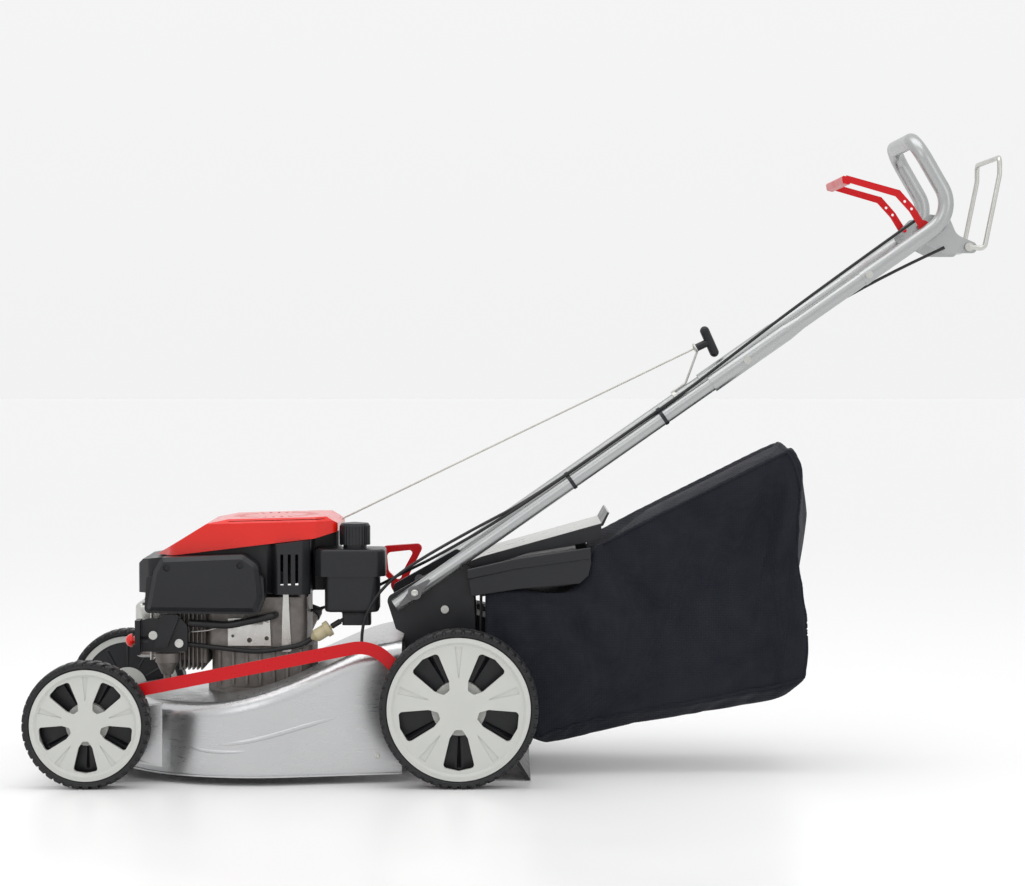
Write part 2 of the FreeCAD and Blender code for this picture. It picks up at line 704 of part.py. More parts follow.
def engine_block():
    """Crankcase and finned cylinder in one casting, cylinder towards the front."""
    seat = size("deck_plateau_height")
    flange = Part.makeCylinder(100, 10, point(CRANK_X, 0, seat + 0.1))
    lower = cast_block(336, 500, -78, 78, seat + 8, 205, 14)
    upper = cast_block(344, 508, -70, 84, 204, 284, 12)
    barrel = cast_block(505, 540, -46, 70, 176, 276, 8)
    fins = [cast_block(514 + 7.0 * i, 517 + 7.0 * i, -58, 82, 166, 284, 1) for i in range(6)]
    head = cast_block(556, 576, -54, 78, 172, 280, 4)
    neck = cast_block(539, 557, -44, 68, 180, 272, 2)
    oil_neck = rod(point(372, -70, 190), point(350, -112, 236), 13)
    ears = [Part.makeCylinder(7, 10, point(x, y, 283)) for x, y in ((352, 76), (352, -60), (500, -60))]
    ribs = [cast_block(352 + 22 * i, 357 + 22 * i, 77, 84, 142, 200, 1) for i in range(7)]
    shape = flange.fuse([lower, upper, barrel, head, neck, oil_neck] + fins + ears + ribs)
    bore = Part.makeCylinder(17.05, 220, point(CRANK_X, 0, 100))
    chamber = Part.makeCylinder(54, 60, point(CRANK_X, 0, 144))
    filler = rod(point(361, -91, 213), point(340, -131, 256.8), 9.05)
    plug_bore = rod(point(560, 51, 256), point(590, 66, 274), 5.0)
    shape = shape.cut([bore, chamber, filler, plug_bore])
    return finish(feature("engine_block", shape.removeSplitter()))


def blower_housing():
    """Black shroud round the flywheel with louvres down its side."""
    outline = [(620, -84), (620, 60), (600, 83), (402, 83), (392, 112), (352, 112), (337, 98), (337, 24),
               (296, 18), (296, -84), (330, -112), (590, -112)]
    corners = [16, 12, 10, 12, 8, 10, 8, 4, 8, 12, 14, 12]
    outer = plan_prism(outline, 291, 352, corners)
    slope = side_prism([(280, 400), (280, 392), (330, 380), (560, 352), (612, 346), (624, 334), (640, 290),
                        (650, 400)], -150, 150)
    wedge = plan_prism(outline, 351, 396, corners).cut(slope)
    outer = outer.cut(slope).fuse(wedge).removeSplitter()
    inner = plan_prism([(617, -82.5), (617, 59), (598.5, 80), (400, 80), (390, 109), (353, 109), (340, 96.5),
                        (340, 21.5), (299, 15.5), (299, -82.5), (331, -109), (589, -109)], 280, 420,
                       [13, 9, 7, 15, 5, 7, 5, 7, 5, 9, 11, 9])
    inner_slope = side_prism([(270, 440), (270, 389), (330, 377), (560, 349), (612, 343), (622, 330), (640, 280),
                              (650, 440)], -150, 150)
    lid_hole = Part.makeCylinder(72, 120, point(CRANK_X, 0, 300))
    shape = outer.cut(inner.cut(inner_slope)).cut(lid_hole)
    for i in range(3):
        groove = side_prism([(356 + 12 * i, 306), (361 + 12 * i, 306), (361 + 12 * i, 356), (356 + 12 * i, 356)],
                            108.0, 120)
        shape = shape.cut(groove)
    return finish(feature("blower_housing", shape))


COVER_TOP = [(592, 352), (560, 371), (505, 405), (470, 412), (312, 416), (292, 404)]
COVER_BOTTOM = [(288, 393.3), (330, 381.3), (560, 353.3)]


def cover_solid(inset):
    """Wedge-shaped lid, high behind and pointed in front."""
    top = [(x - (inset if x > 400 else -inset), z - inset) for x, z in COVER_TOP]
    side = side_prism(top + [(288 + inset, 380 if inset else 393.3)]
                      + ([(560, 340)] if inset else COVER_BOTTOM[1:]), -130, 130)
    wide = 104 - inset
    plan = plan_prism([(596 - inset, -40), (596 - inset, 30), (560, wide - 8), (330, wide), (294 + inset, wide - 22),
                       (290 + inset, -80), (330, -wide), (560, -wide + 8)], 300, 450, [14, 14, 30, 16, 14, 14, 16, 30])
    return side.common(plan)


def top_cover():
    """Red lid of the recoil starter, with a ring of cooling slots on top."""
    shape = cover_solid(0.0)
    ridge = [edge for edge in shape.Edges if edge.BoundBox.ZMin > 408 and edge.BoundBox.XLength > 100]
    shape = shape.makeChamfer(7.0, ridge)
    shape = shape.cut(cover_solid(3.0))
    slots = []
    for i in range(28):
        angle = 360.0 * i / 28
        slot = Part.makeBox(18, 4, 60, point(52, -2, 0))
        slot.rotate(Vector(0, 0, 0), Z_AXIS, angle)
        slot.translate(Vector(CRANK_X - 12, 0, 385))
        slots.append(slot)
    rope_hole = rod(ROPE_START - ROPE_WAY * 30, ROPE_START + ROPE_WAY * 30, 4.0)
    return finish(feature("top_cover", shape.cut(slots + [rope_hole])))


ROPE_START = point(300.0, -40.0, 402.0)
ROPE_EYE = point(-300.0, -122.0, 688.0)
ROPE_WAY = (ROPE_EYE - ROPE_START).normalize()


def air_filter_cover():
    """Domed black lid of the air filter on the left side."""
    outline = [(600, 266), (588, 330), (576, 352), (444, 357), (420, 340), (414, 290), (424, 264)]
    shape = side_prism(outline, 86, 134, [8, 14, 10, 14, 16, 12, 8])
    outer = [edge for edge in shape.Edges if abs(edge.CenterOfMass.y - 134) < 0.1]
    shape = shape.makeChamfer(7.0, outer)
    ledge = side_prism([(604, 262), (600, 322), (412, 322), (410, 286), (420, 260)], 86, 122, [8, 6, 6, 10, 8])
    shape = shape.fuse(ledge).removeSplitter()
    space = side_prism([(592, 272), (580, 344), (430, 348), (422, 290), (430, 272)], 76, 118, [6, 10, 10, 10, 6])
    wells = [Part.makeCylinder(6, 8, point(x, 128.0, z), Y_AXIS) for x, z in ((566, 336), (448, 340))]
    return finish(feature("air_filter_cover", shape.cut([space] + wells)))


def intake_bracket():
    """Black moulding that joins the filter to the carburettor, with its slanted duct."""
    plate = side_prism([(618, 198), (618, 246), (600, 252), (546, 252), (536, 240), (536, 198)], 100, 108,
                       [4, 6, 4, 8, 8, 6])
    nose = side_prism([(619, 194), (619, 250), (611, 250), (611, 194)], 88, 124)
    duct = side_prism([(577, 259), (547, 259), (568, 206), (590, 206)], 108, 116, [4, 4, 4, 4])
    shape = plate.fuse([nose, duct]).removeSplitter()
    bores = [Part.makeCylinder(4, 60, point(x, 80, z), Y_AXIS) for x, z in CARB_SCREWS]
    bores += [Part.makeCylinder(7.3, 20, point(x, 108, z), Y_AXIS) for x, z in CARB_SCREWS]
    primer_hole = rod(point(600, 112, 217), point(630, 112, 217), 7.05)
    return finish(feature("intake_bracket", shape.cut(bores + [primer_hole])))


CARB_SCREWS = ((591, 225), (549, 212))


def carburettor():
    """Cast body with its round float bowl."""
    body = cast_block(541, 596, 84.2, 99.8, 196, 246, 4)
    throat = rod(point(577, 69, 224), point(600, 69, 224), 13)
    link = cast_block(577, 596, 60, 86, 212, 238, 3)
    bowl = Part.makeCone(9, 18, 20, point(569, 104, 162))
    rim = Part.makeCylinder(19, 14.8, point(569, 104, 181))
    nut = Part.makeCylinder(6, 9, point(569, 104, 154))
    neck = cast_block(557, 581, 84.2, 99.8, 188, 200, 3)
    shape = body.fuse([throat, link, bowl, rim, nut, neck]).removeSplitter()
    bores = [Part.makeCylinder(4, 60, point(x, 60, z), Y_AXIS) for x, z in CARB_SCREWS]
    return finish(feature("carburettor", shape.cut(bores)))


def primer_bulb():
    """Soft red bulb that is pushed to prime the engine."""
    dome = primitive("Sphere", "primer_dome", (624.2, 112, 217), ALONG_Z, Radius=11)
    clip = box("primer_clip", 30, 30, 30, (594.2, 97, 202))
    front = cut("primer_front", dome, clip)
    stem = cylinder("primer_stem", 7, 8, (617.0, 112, 217), ALONG_X)
    return finish(fuse("primer_bulb", [front, stem]))


def muffler():
    """Plated exhaust box in front of the cylinder head."""
    shape = cast_block(577, 628, -50, 50, 182, 272, 12)
    rims = [edge for edge in shape.Edges if edge.BoundBox.ZLength < 0.01]
    shape = shape.makeFillet(8, rims)
    seam = cast_block(598, 603, -53, 53, 179, 275, 2)
    outlet = rod(point(604, -46, 200), point(604, -62, 192), 9)
    bore = rod(point(604, -54, 196), point(604, -66, 190), 7)
    return finish(feature("muffler", shape.fuse([seam, outlet]).removeSplitter().cut(bore)))


def spark_plug():
    """Plug in the cylinder head under its rubber cap."""
    thread = rod(point(570, 56, 262), point(590, 66, 274), 5)
    cap = rod(point(588, 64, 272), point(606, 58, 284), 8)
    return finish(feature("spark_plug", thread.fuse(cap).removeSplitter()))


STRAINER = point(306.0, 93.0, 236.0)
FUEL_WAY = Vector(0.85, 0, -0.52).normalize()


def fuel_tank():
    """Black tank behind the engine, with the filler neck on top."""
    upper = plan_prism([(330, 30), (330, 100), (318, 116), (230, 116), (216, 100), (216, 30)], 320, 364,
                       [8, 10, 10, 14, 14, 14])
    lower = plan_prism([(314, 36), (314, 112), (226, 112), (226, 36)], 262, 324, [14, 14, 14, 14])
    foot = plan_prism([(286, 60), (286, 100), (240, 100), (240, 60)], 240, 264, [6, 6, 6, 6])
    shape = upper.fuse([lower, foot]).removeSplitter()
    rims = [edge for edge in shape.Edges
            if edge.BoundBox.ZLength < 0.01 and (abs(edge.CenterOfMass.z - 364) < 0.1 or
                                                 abs(edge.CenterOfMass.z - 262) < 0.1)]
    shape = shape.makeFillet(5, rims)
    neck = Part.makeCylinder(19, 14, point(TANK_CAP[0], TANK_CAP[1], 363))
    hollow = plan_prism([(310, 40), (310, 108), (230, 108), (230, 40)], 268, 356, [12, 12, 12, 12])
    mouth = Part.makeCylinder(15, 40, point(TANK_CAP[0], TANK_CAP[1], 350))
    spigot = rod(STRAINER - FUEL_WAY * 32, STRAINER - FUEL_WAY * 14, 3.0)
    return finish(feature("fuel_tank", shape.fuse([neck, spigot]).cut([hollow, mouth])))


TANK_CAP = (266.0, 78.0)


def fuel_cap():
    """Ribbed screw cap."""
    body = new_body("fuel_cap", (TANK_CAP[0], TANK_CAP[1], 0))
    profile = new_sketch(body, "fuel_cap_profile", "XZ_Plane")
    draw_outline(profile, [(0, 378.5), (19.2, 378.5), (19.2, 370), (25, 370), (25, 400), (22, 405), (0, 407)])
    revolve(body, profile, "fuel_cap_turned")
    doc.recompute()
    rib = new_sketch(body, "fuel_cap_rib", "XY_Plane", 402)
    draw_outline(rib, [(23.8, -1.0), (27, -1.0), (27, 1.0), (23.8, 1.0)])
    groove = pocket(body, rib, "fuel_cap_groove", 40)
    polar(body, groove, "fuel_cap_ribs", 30)
    return finish(body)


def dipstick():
    """Oil filler plug with its level stick."""
    way = (point(340, -131, 256.8) - point(361, -91, 213)).normalize()
    mouth = point(350, -112, 236)
    stem = rod(mouth - way * 22, mouth + way * 1, 9.0)
    grip = rod(mouth + way * 0.6, mouth + way * 12, 15)
    bar = Part.makeBox(26, 5, 10, point(-13, -2.5, 0))
    bar.Placement = Placement(mouth + way * 11, Rotation(Z_AXIS, way))
    return finish(feature("dipstick", stem.fuse([grip, bar]).removeSplitter()))


def fuel_strainer():
    """Cream filter bowl in the fuel line."""
    heading = FUEL_WAY
    start = STRAINER
    cap = rod(start, start + heading * 8, 13)
    bowl = rod(start + heading * 7, start + heading * 26, 10.5)
    nose = Part.makeCone(10.5, 5, 7, start + heading * 25.9, heading)
    spigots = [rod(start - heading * 8, start + heading, 3.0),
               rod(start + heading * 32, start + heading * 42, 3.0)]
    return finish(feature("fuel_strainer", cap.fuse([bowl, nose] + spigots).removeSplitter()))


def hoses():
    """Breather hose below the filter, and the fuel line from tank to carburettor."""
    start = STRAINER - FUEL_WAY * 3.2
    finish_point = STRAINER + FUEL_WAY * 35.2
    breather = tube_along([point(534, 99, 244), point(470, 100, 240), point(396, 103, 256), point(396, 84.3, 256)],
                          6.0, [0, 90, 13, 0])
    feed = rod(start, STRAINER - FUEL_WAY * 20, 4.5).cut(rod(STRAINER, STRAINER - FUEL_WAY * 21, 3.05))
    line = tube_along([finish_point, finish_point + FUEL_WAY * 20, point(420, 98, 196), point(540.0, 92, 209)],
                      4.0, [0, 60, 160, 0], 3.05)
    return finish(group_of("hoses", [breather, feed, line]))


def group_of(name, shapes):
    return feature(name, Part.makeCompound(shapes))


def control_plate():
    """Plated governor plate with its holes."""
    body = new_body("control_plate", (0, 91.0, 0), SIDE_VIEW)
    outline = new_sketch(body, "control_plate_outline")
    draw_outline(outline, [(402, 206), (472, 206), (472, 250), (430, 252), (404, 252)])
    pad(body, outline, "control_plate_sheet", 2)
    doc.recompute()
    holes = new_sketch(body, "control_plate_holes")
    draw_circle(holes, 4, (437, 215))
    draw_circle(holes, 2.5, (464, 222))
    draw_circle(holes, 2, (440, 247))
    draw_circle(holes, 3.5, (409, 218))
    cutter = pocket(body, holes, "control_plate_cut", 10)
    cutter.Midplane = True
    return finish(body)


def governor_lever():
    """Plated strip that the governor turns."""
    gx, gz = GOVERNOR
    strip = side_prism([(369, 196), (385, 196), (384, 250), (382, 300), (374, 300), (372, 250)], 86.2, 88.2,
                       [3, 3, 30, 4, 4, 30])
    shaft = rod(point(gx, 84.2, gz), point(gx, 91, gz), 4.0)
    hole = rod(point(378, 80, 292), point(378, 120, 292), 1.8)
    return finish(feature("governor_lever", strip.fuse(shaft).removeSplitter().cut(hole)))


GOVERNOR = (377.0, 210.0)


def screws():
    """Screws of the carburettor, the deck and the housing's side plates."""
    pieces = [screw("carb_screw_%d" % i, (x, 108.0, z), ALONG_Y, "3.9", 7, 22.0)
              for i, (x, z) in enumerate(CARB_SCREWS)]
    for side in (1, -1):
        turn = ALONG_Y if side > 0 else SIDE_VIEW
        pieces.append(screw("plate_screw_%d" % (side + 1), (119, side * (size("bracket_half_width") + 0.0), 268),
                            turn, "3.0", 6.5, 3.0))
    return finish(group("screws", pieces))


def gearbox():
    """Worm gearbox on the drive shaft."""
    px, pz = REAR_PIVOT
    case = cast_block(px - 26, px + 34, -24, 24, pz - 12, pz + 30, 8)
    top = Part.makeCylinder(18, 14, point(px + 12, 0, pz + 29))
    ends = rod(point(px, -34, pz), point(px, 34, pz), 13)
    bore = rod(point(px, -50, pz), point(px, 50, pz), 7.05)
    return finish(feature("gearbox", case.fuse([top, ends]).removeSplitter().cut(bore)))


def drive_shaft():
    """Shaft along the rear cranks' pivot that drives the wheels through a pinion at each end."""
    px, pz = REAR_PIVOT
    end = ARM_Y + 20.0
    shaft = rod(point(px, -end, pz), point(px, end, pz), 7.0)
    pinions = []
    for side in (1, -1):
        start = side * (ARM_Y + 7.0)
        gear = Part.makeCylinder(9.0, 12, point(px, start, pz), Y_AXIS * side)
        teeth = []
        for i in range(12):
            tooth = Part.makeBox(3.5, 12, 2.2, point(8, 0, -1.1))
            tooth.rotate(Vector(0, 0, 0), Y_AXIS, 30.0 * i)
            tooth.translate(Vector(px, start if side > 0 else start - 12, pz))
            teeth.append(tooth)
        pinions.append(gear.fuse(teeth))
    return finish(feature("drive_shaft", shaft.fuse(pinions).removeSplitter()))


for make in (axle_bracket, rear_housing, crankshaft, flywheel, blade_adapter, blade, blade_bolt, engine_block,
             blower_housing, top_cover, air_filter_cover, intake_bracket, carburettor, primer_bulb, muffler,
             spark_plug, fuel_tank, fuel_cap, dipstick, fuel_strainer, hoses, control_plate, governor_lever,
             screws, gearbox, drive_shaft):
    make()


# ---------------------------------------------------------------- handle

SLOPE = math.radians(size("handle_slope"))
HANDLE_WAY = Vector(-math.cos(SLOPE), 0, math.sin(SLOPE))
HANDLE_UP = Vector(math.sin(SLOPE), 0, math.cos(SLOPE))
TUBE_Y = size("tube_half_spacing")


def on_handle(distance, y=TUBE_Y, lift=0.0):
    """Point at a distance up the handle from its pivot, lifted off the tube's axis."""
    base = point(HANDLE_PIVOT[0], y, HANDLE_PIVOT[1])
    return base + HANDLE_WAY * distance + HANDLE_UP * lift


LOWER_START = -39.0
SLEEVE_START = 582.0
LOWER_END = 690.0
FOLD_BOLT = 650.0
SLEEVE_END = 728.0
TAPER_END = 755.0
BOW_START = 876.0
UPPER_END = 905.0
BOW_BOLT = 858.0


def lower_tube(name, y):
    outer = rod(on_handle(LOWER_START, y), on_handle(LOWER_END, y), size("lower_tube_radius"))
    inner = rod(on_handle(LOWER_START + 3, y), on_handle(LOWER_END + 5, y), size("lower_tube_radius") - 1.5)
    bolt = rod(on_handle(0, y - 30), on_handle(0, y + 30), 4.05)
    joint = rod(on_handle(FOLD_BOLT, y - 30), on_handle(FOLD_BOLT, y + 30), 3.0)
    return finish(feature(name, outer.cut([inner, bolt, joint])))


def upper_tube(name, y):
    """Tube whose widened lower end slides over the lower tube."""
    wide = size("sleeve_radius")
    narrow = size("upper_tube_radius")
    sleeve = rod(on_handle(SLEEVE_START, y), on_handle(SLEEVE_END, y), wide)
    taper = Part.makeCone(wide, narrow, TAPER_END - SLEEVE_END, on_handle(SLEEVE_END, y), HANDLE_WAY)
    straight = rod(on_handle(TAPER_END, y), on_handle(UPPER_END, y), narrow)
    outer = sleeve.fuse([taper, straight]).removeSplitter()
    bore = rod(on_handle(SLEEVE_START - 1, y), on_handle(LOWER_END + 4, y), size("lower_tube_radius") + 0.02)
    core = rod(on_handle(LOWER_END, y), on_handle(UPPER_END + 1, y), narrow - 2.0)
    joint = rod(on_handle(FOLD_BOLT, y - 30), on_handle(FOLD_BOLT, y + 30), 3.0)
    bolt = rod(on_handle(BOW_BOLT + 30, y - 30), on_handle(BOW_BOLT + 30, y + 30), 3.0)
    return finish(feature(name, outer.cut([bore, core, joint, bolt])))


def handle_bow():
    """Bent tube over the upper tubes' ends, with the bails' brackets welded on."""
    corner = point(-700.9, 0, 905.9)
    top = point(-633.0, 0, 1023.0)
    half = TUBE_Y
    radius = size("bow_tube_radius")
    inner = size("upper_tube_radius") + 0.02
    start = on_handle(BOW_START, half)
    path = [start, point(corner.x, half - 2, corner.z), point(top.x, half - 2, top.z),
            point(top.x, -half + 2, top.z), point(corner.x, -half + 2, corner.z), on_handle(BOW_START, -half)]
    path = [point(p.x, half if p.y > 0 else -half, p.z) for p in path]
    bow = tube_along(path, radius + 0.6, [0, 50.0, 38.0, 38.0, 50.0, 0])
    bores = [rod(on_handle(BOW_START - 1, y), on_handle(UPPER_END + 0.5, y), inner) for y in (half, -half)]
    plates = []
    for side in (1, -1):
        y_low = 104.0 if side > 0 else -107.0
        plate = side_prism([(-628, 872), (-660, 905), (-694, 900), (-706, 872), (-738, 858), (-740, 842), (-688, 842)],
                           y_low, y_low + 3, [8, 8, 6, 20, 8, 8, 20])
        for pin_x, pin_z in (STOP_PIVOT, DRIVE_PIVOT):
            plate = plate.cut(rod(point(pin_x, -160, pin_z), point(pin_x, 160, pin_z), 3.05))
        low, high = (106.0, 124.0) if side > 0 else (-124.0, -106.0)
        tab = Part.makeBox(14, high - low, 3, point(-690, low, 888))
        plates.append(plate.fuse(tab))
    shape = bow.cut(bores).fuse(plates).removeSplitter()
    bolts = [rod(on_handle(BOW_BOLT + 30, y - 30), on_handle(BOW_BOLT + 30, y + 30), 3.0) for y in (half, -half)]
    return finish(feature("handle_bow", shape.cut(bolts)))


STOP_PIVOT = (-651.0, 886.0)
DRIVE_PIVOT = (-725.6, 852.0)


def stop_bail():
    """Red engine-stop bail: flat strip legs and a folded crossbar."""
    half = 116.0
    outline = [(-657, 884), (-636, 917), (-613, 943), (-527, 967), (-524, 957), (-606, 933), (-628, 909),
               (-645, 881)]
    legs = []
    for side in (1, -1):
        y_low = half - 3 if side > 0 else -half
        strip = side_prism(outline, y_low, y_low + 3)
        pad_disc = Part.makeCylinder(9, 3, point(STOP_PIVOT[0], y_low, STOP_PIVOT[1]), Y_AXIS)
        pin = rod(point(STOP_PIVOT[0], side * (half - 1), STOP_PIVOT[1]),
                  point(STOP_PIVOT[0], side * (half - 16), STOP_PIVOT[1]), 3.0)
        strip = strip.fuse([pad_disc, pin])
        for x, z in ((-632, 913), (-621, 925)):
            strip = strip.cut(rod(point(x, -200, z), point(x, 200, z), 2.2))
        legs.append(strip)
    bar = side_prism([(-534, 951), (-521, 954), (-519, 967), (-532, 964)], -half, half, [3, 3, 3, 3])
    return finish(feature("stop_bail", legs[0].fuse([legs[1], bar]).removeSplitter()))


def drive_bail():
    """Grey drive bail bent from one round bar, hooked into the two brackets."""
    px, pz = DRIVE_PIVOT
    half = 112.0
    legs = [point(px, half, pz), point(-750, half, 849), point(-773.8, half, 968), point(-773.8, half, 996)]
    path = legs + [point(p.x, -p.y, p.z) for p in reversed(legs)]
    shape = tube_along(path, 4.0, [0, 9.0, 24.0, 12.0, 12.0, 24.0, 9.0, 0])
    ends = []
    for side in (1, -1):
        eye = Part.makeCylinder(7, 6, point(px, side * 112 - 3, pz), Y_AXIS)
        pin = rod(point(px, side * 113, pz), point(px, side * 101, pz), 3.0)
        ends += [eye, pin]
    return finish(feature("drive_bail", shape.fuse(ends).removeSplitter()))


def wing_lever(name, side):
    """Wing nut outside the tube that clamps the handle to its bracket."""
    y = side * (TUBE_Y + size("lower_tube_radius"))
    low = y + 0.3 if side > 0 else y - 10.3
    hub = Part.makeCylinder(11, 10, point(HANDLE_PIVOT[0], low, HANDLE_PIVOT[1]), Y_AXIS)
    wings = []
    for sign in (1, -1):
        tip = on_handle(sign * 31.0, 0, sign * 3.0)
        root = on_handle(0, 0)
        across = HANDLE_UP * 9.0
        y_mid = low + 3.5
        corners = [point(p.x, y_mid, p.z) for p in (root + across, tip + HANDLE_UP * 2, tip - HANDLE_UP * 2,
                                                    root - across)]
        wings.append(Part.Face(Part.makePolygon(corners + corners[:1])).extrude(Vector(0, 4, 0)))
    bolt_end = y + side * 12.8
    stem = rod(point(HANDLE_PIVOT[0], side * (size("bracket_half_width") - 14), HANDLE_PIVOT[1]),
               point(HANDLE_PIVOT[0], bolt_end, HANDLE_PIVOT[1]), 4.0)
    head = Part.makeCylinder(8, 5, point(HANDLE_PIVOT[0], side * (size("bracket_half_width") - 8.2), HANDLE_PIVOT[1]),
                             Y_AXIS * -side)
    return finish(feature(name, hub.fuse(wings + [stem, head]).removeSplitter()))


def handle_bolts():
    """Cross bolts of the sleeves and of the bow."""
    pieces = []
    for side in (1, -1):
        turn = ALONG_Y if side > 0 else SIDE_VIEW
        for number, (distance, reach) in enumerate(((FOLD_BOLT, size("sleeve_radius")),
                                                    (BOW_BOLT + 30, size("bow_tube_radius") + 0.6))):
            at = on_handle(distance, side * (TUBE_Y + reach + 0.1))
            pieces.append(screw("handle_bolt_%d_%d" % (side + 1, number), (at.x, at.y, at.z), turn,
                                "3.0", 6, 2 * reach, 3.0))
    return finish(group("handle_bolts", pieces))


ROPE_POST = 572.0


def rope_guide():
    """Bent wire eye on the right lower tube that holds the starter grip."""
    base = on_handle(ROPE_POST - 40, -TUBE_Y, size("lower_tube_radius") + 2.2)
    knee = on_handle(ROPE_POST - 12, -TUBE_Y, size("lower_tube_radius") + 2.2)
    eye = ROPE_EYE - point(0, 0, 0)
    down = (ROPE_WAY * ROPE_WAY.dot(Z_AXIS) - Z_AXIS).normalize()
    shape = tube_along([base, knee, eye + down * 7], 2.0, [0, 8, 0])
    ring = Part.makeTorus(7.0, 2.0, eye, ROPE_WAY)
    clamp = rod(on_handle(ROPE_POST - 42, -TUBE_Y), on_handle(ROPE_POST - 36, -TUBE_Y), 15.0)
    clamp = clamp.cut(rod(on_handle(ROPE_POST - 60, -TUBE_Y), on_handle(ROPE_POST, -TUBE_Y), 11.02))
    return finish(feature("rope_guide", shape.fuse([ring, clamp]).removeSplitter()))


def starter_grip():
    """Black T-shaped grip on the end of the starter rope."""
    start = ROPE_EYE + ROPE_WAY * 3.0
    stem = rod(start, start + ROPE_WAY * 22, 6.5)
    bar_way = Vector(-0.35, 0, 0.94)
    bar_way = (bar_way - ROPE_WAY * bar_way.dot(ROPE_WAY)).normalize()
    middle = start + ROPE_WAY * 24
    bar = rod(middle - bar_way * 20, middle + bar_way * 20, 8.0)
    caps = [Part.makeSphere(8.0, middle + bar_way * sign * 20) for sign in (1, -1)]
    return finish(feature("starter_grip", stem.fuse([bar] + caps).removeSplitter()))


def starter_rope():
    return finish(feature("starter_rope", rod(ROPE_START, ROPE_EYE + ROPE_WAY * 2.9, 1.6)))


def cable_ties():
    """Two ties round the left tube and its cables."""
    pieces = []
    for distance in (305.0, 485.0):
        loop = rod(on_handle(distance, TUBE_Y), on_handle(distance + 6, TUBE_Y), 12.6)
        loop = loop.cut(rod(on_handle(distance - 5, TUBE_Y), on_handle(distance + 12, TUBE_Y), 11.02))
        saddle = rod(on_handle(distance, TUBE_Y, CABLE_LIFT), on_handle(distance + 6, TUBE_Y, CABLE_LIFT), 4.6)
        saddle = saddle.cut(rod(on_handle(distance - 5, TUBE_Y), on_handle(distance + 12, TUBE_Y), 11.02))
        both = loop.fuse(saddle)
        both = both.cut(rod(on_handle(distance - 5, TUBE_Y, CABLE_LIFT),
                            on_handle(distance + 12, TUBE_Y, CABLE_LIFT), 2.9))
        pieces.append(both.cut(rod(on_handle(distance - 5, TUBE_Y - CABLE_GAP, CABLE_LIFT),
                                   on_handle(distance + 12, TUBE_Y - CABLE_GAP, CABLE_LIFT), 2.9)))
    return finish(group_of("cable_ties", pieces))


CABLE_LIFT = 14.4
CABLE_GAP = 6.2


def stop_cable():
    """Engine-stop cable from the red bail along the left tube to the engine."""
    path = [point(-645, 109.2, 899), on_handle(800, 124, 26), on_handle(600, TUBE_Y, 17.6),
            on_handle(540, TUBE_Y, CABLE_LIFT), on_handle(200, TUBE_Y, CABLE_LIFT), on_handle(60, 116, 26),
            point(180, 50, 326), point(240, 8, 292), point(310, 4, 262), point(343.5, 4, 255)]
    return finish(feature("stop_cable", tube_along(path, 2.5, [0, 60, 80, 100, 100, 60, 40, 50, 40, 0])))


def drive_cable():
    """Drive cable from the grey bail along the left tube, down through the deck to the gearbox."""
    side = TUBE_Y - CABLE_GAP
    path = [point(-686, 109.8, 851), on_handle(860, 114.5, -6), on_handle(580, 114.5, 1),
            on_handle(520, side, CABLE_LIFT), on_handle(240, side, CABLE_LIFT), point(62, 128, 404),
            point(167, 128, 345), point(218, 127, 306), point(246, 125, 262), point(CABLE_HOLE[0], CABLE_HOLE[1], 232),
            point(CABLE_HOLE[0], CABLE_HOLE[1] - 0.5, 198), point(244, 110, 166), point(214, 14, 118),
            point(183.0, 14, 118)]
    return finish(feature("drive_cable", tube_along(path, 2.5, [0, 60, 60, 60, 200, 150, 90, 60, 60, 60, 25, 30, 60, 0])))


# ---------------------------------------------------------------- flaps and grass bag

def rear_flap():
    """Sprung lid over the discharge chute, with turned-down sides and a raised lip."""
    half = size("flap_half_width")
    top = side_prism([(97, 337), (60, 352), (-134, 406), (-144, 424), (-147, 423), (-137, 402), (58, 348),
                      (94, 332)], -half, half)
    sides = []
    for y_low in (-half, half - 3.0):
        sides.append(side_prism([(97, 337), (60, 352), (-134, 406), (-134, 379), (-20, 359), (60, 334), (90, 326)],
                                y_low, y_low + 3.0))
    pins = [rod(point(FLAP_HINGE[0], side * (half - 3), FLAP_HINGE[1]),
                point(FLAP_HINGE[0], side * (size("bracket_half_width") + 4), FLAP_HINGE[1]), 3.0)
            for side in (1, -1)]
    ears = [Part.makeCylinder(7, 3, point(FLAP_HINGE[0], y_low, FLAP_HINGE[1]), Y_AXIS)
            for y_low in (-half, half - 3.0)]
    return finish(feature("rear_flap", top.fuse(sides + pins + ears).removeSplitter()))


def trailing_flap():
    """Rubber flap that hangs behind the deck down to the ground."""
    half = size("trailing_half_width")
    hx, hz = TRAIL_HINGE
    outline = [(hx + 6, hz + 4), (hx - 6, hz + 5), (52, 88), (20, 62), (-4, 26), (-19, 1.5), (-15, 1.2), (2, 24),
               (26, 57), (56, 82), (hx - 6, hz - 5), (hx + 6, hz - 4)]
    sheet_body = side_prism(outline, -half, half)
    gaps = [Part.makeBox(45, 14, 40, point(hx - 30, side * 115.6 - 7, hz - 25)) for side in (1, -1)]
    hinge_rod = rod(point(hx, -half, hz), point(hx, half, hz), 3.0)
    return finish(feature("trailing_flap", sheet_body.cut(gaps).fuse(hinge_rod).removeSplitter()))


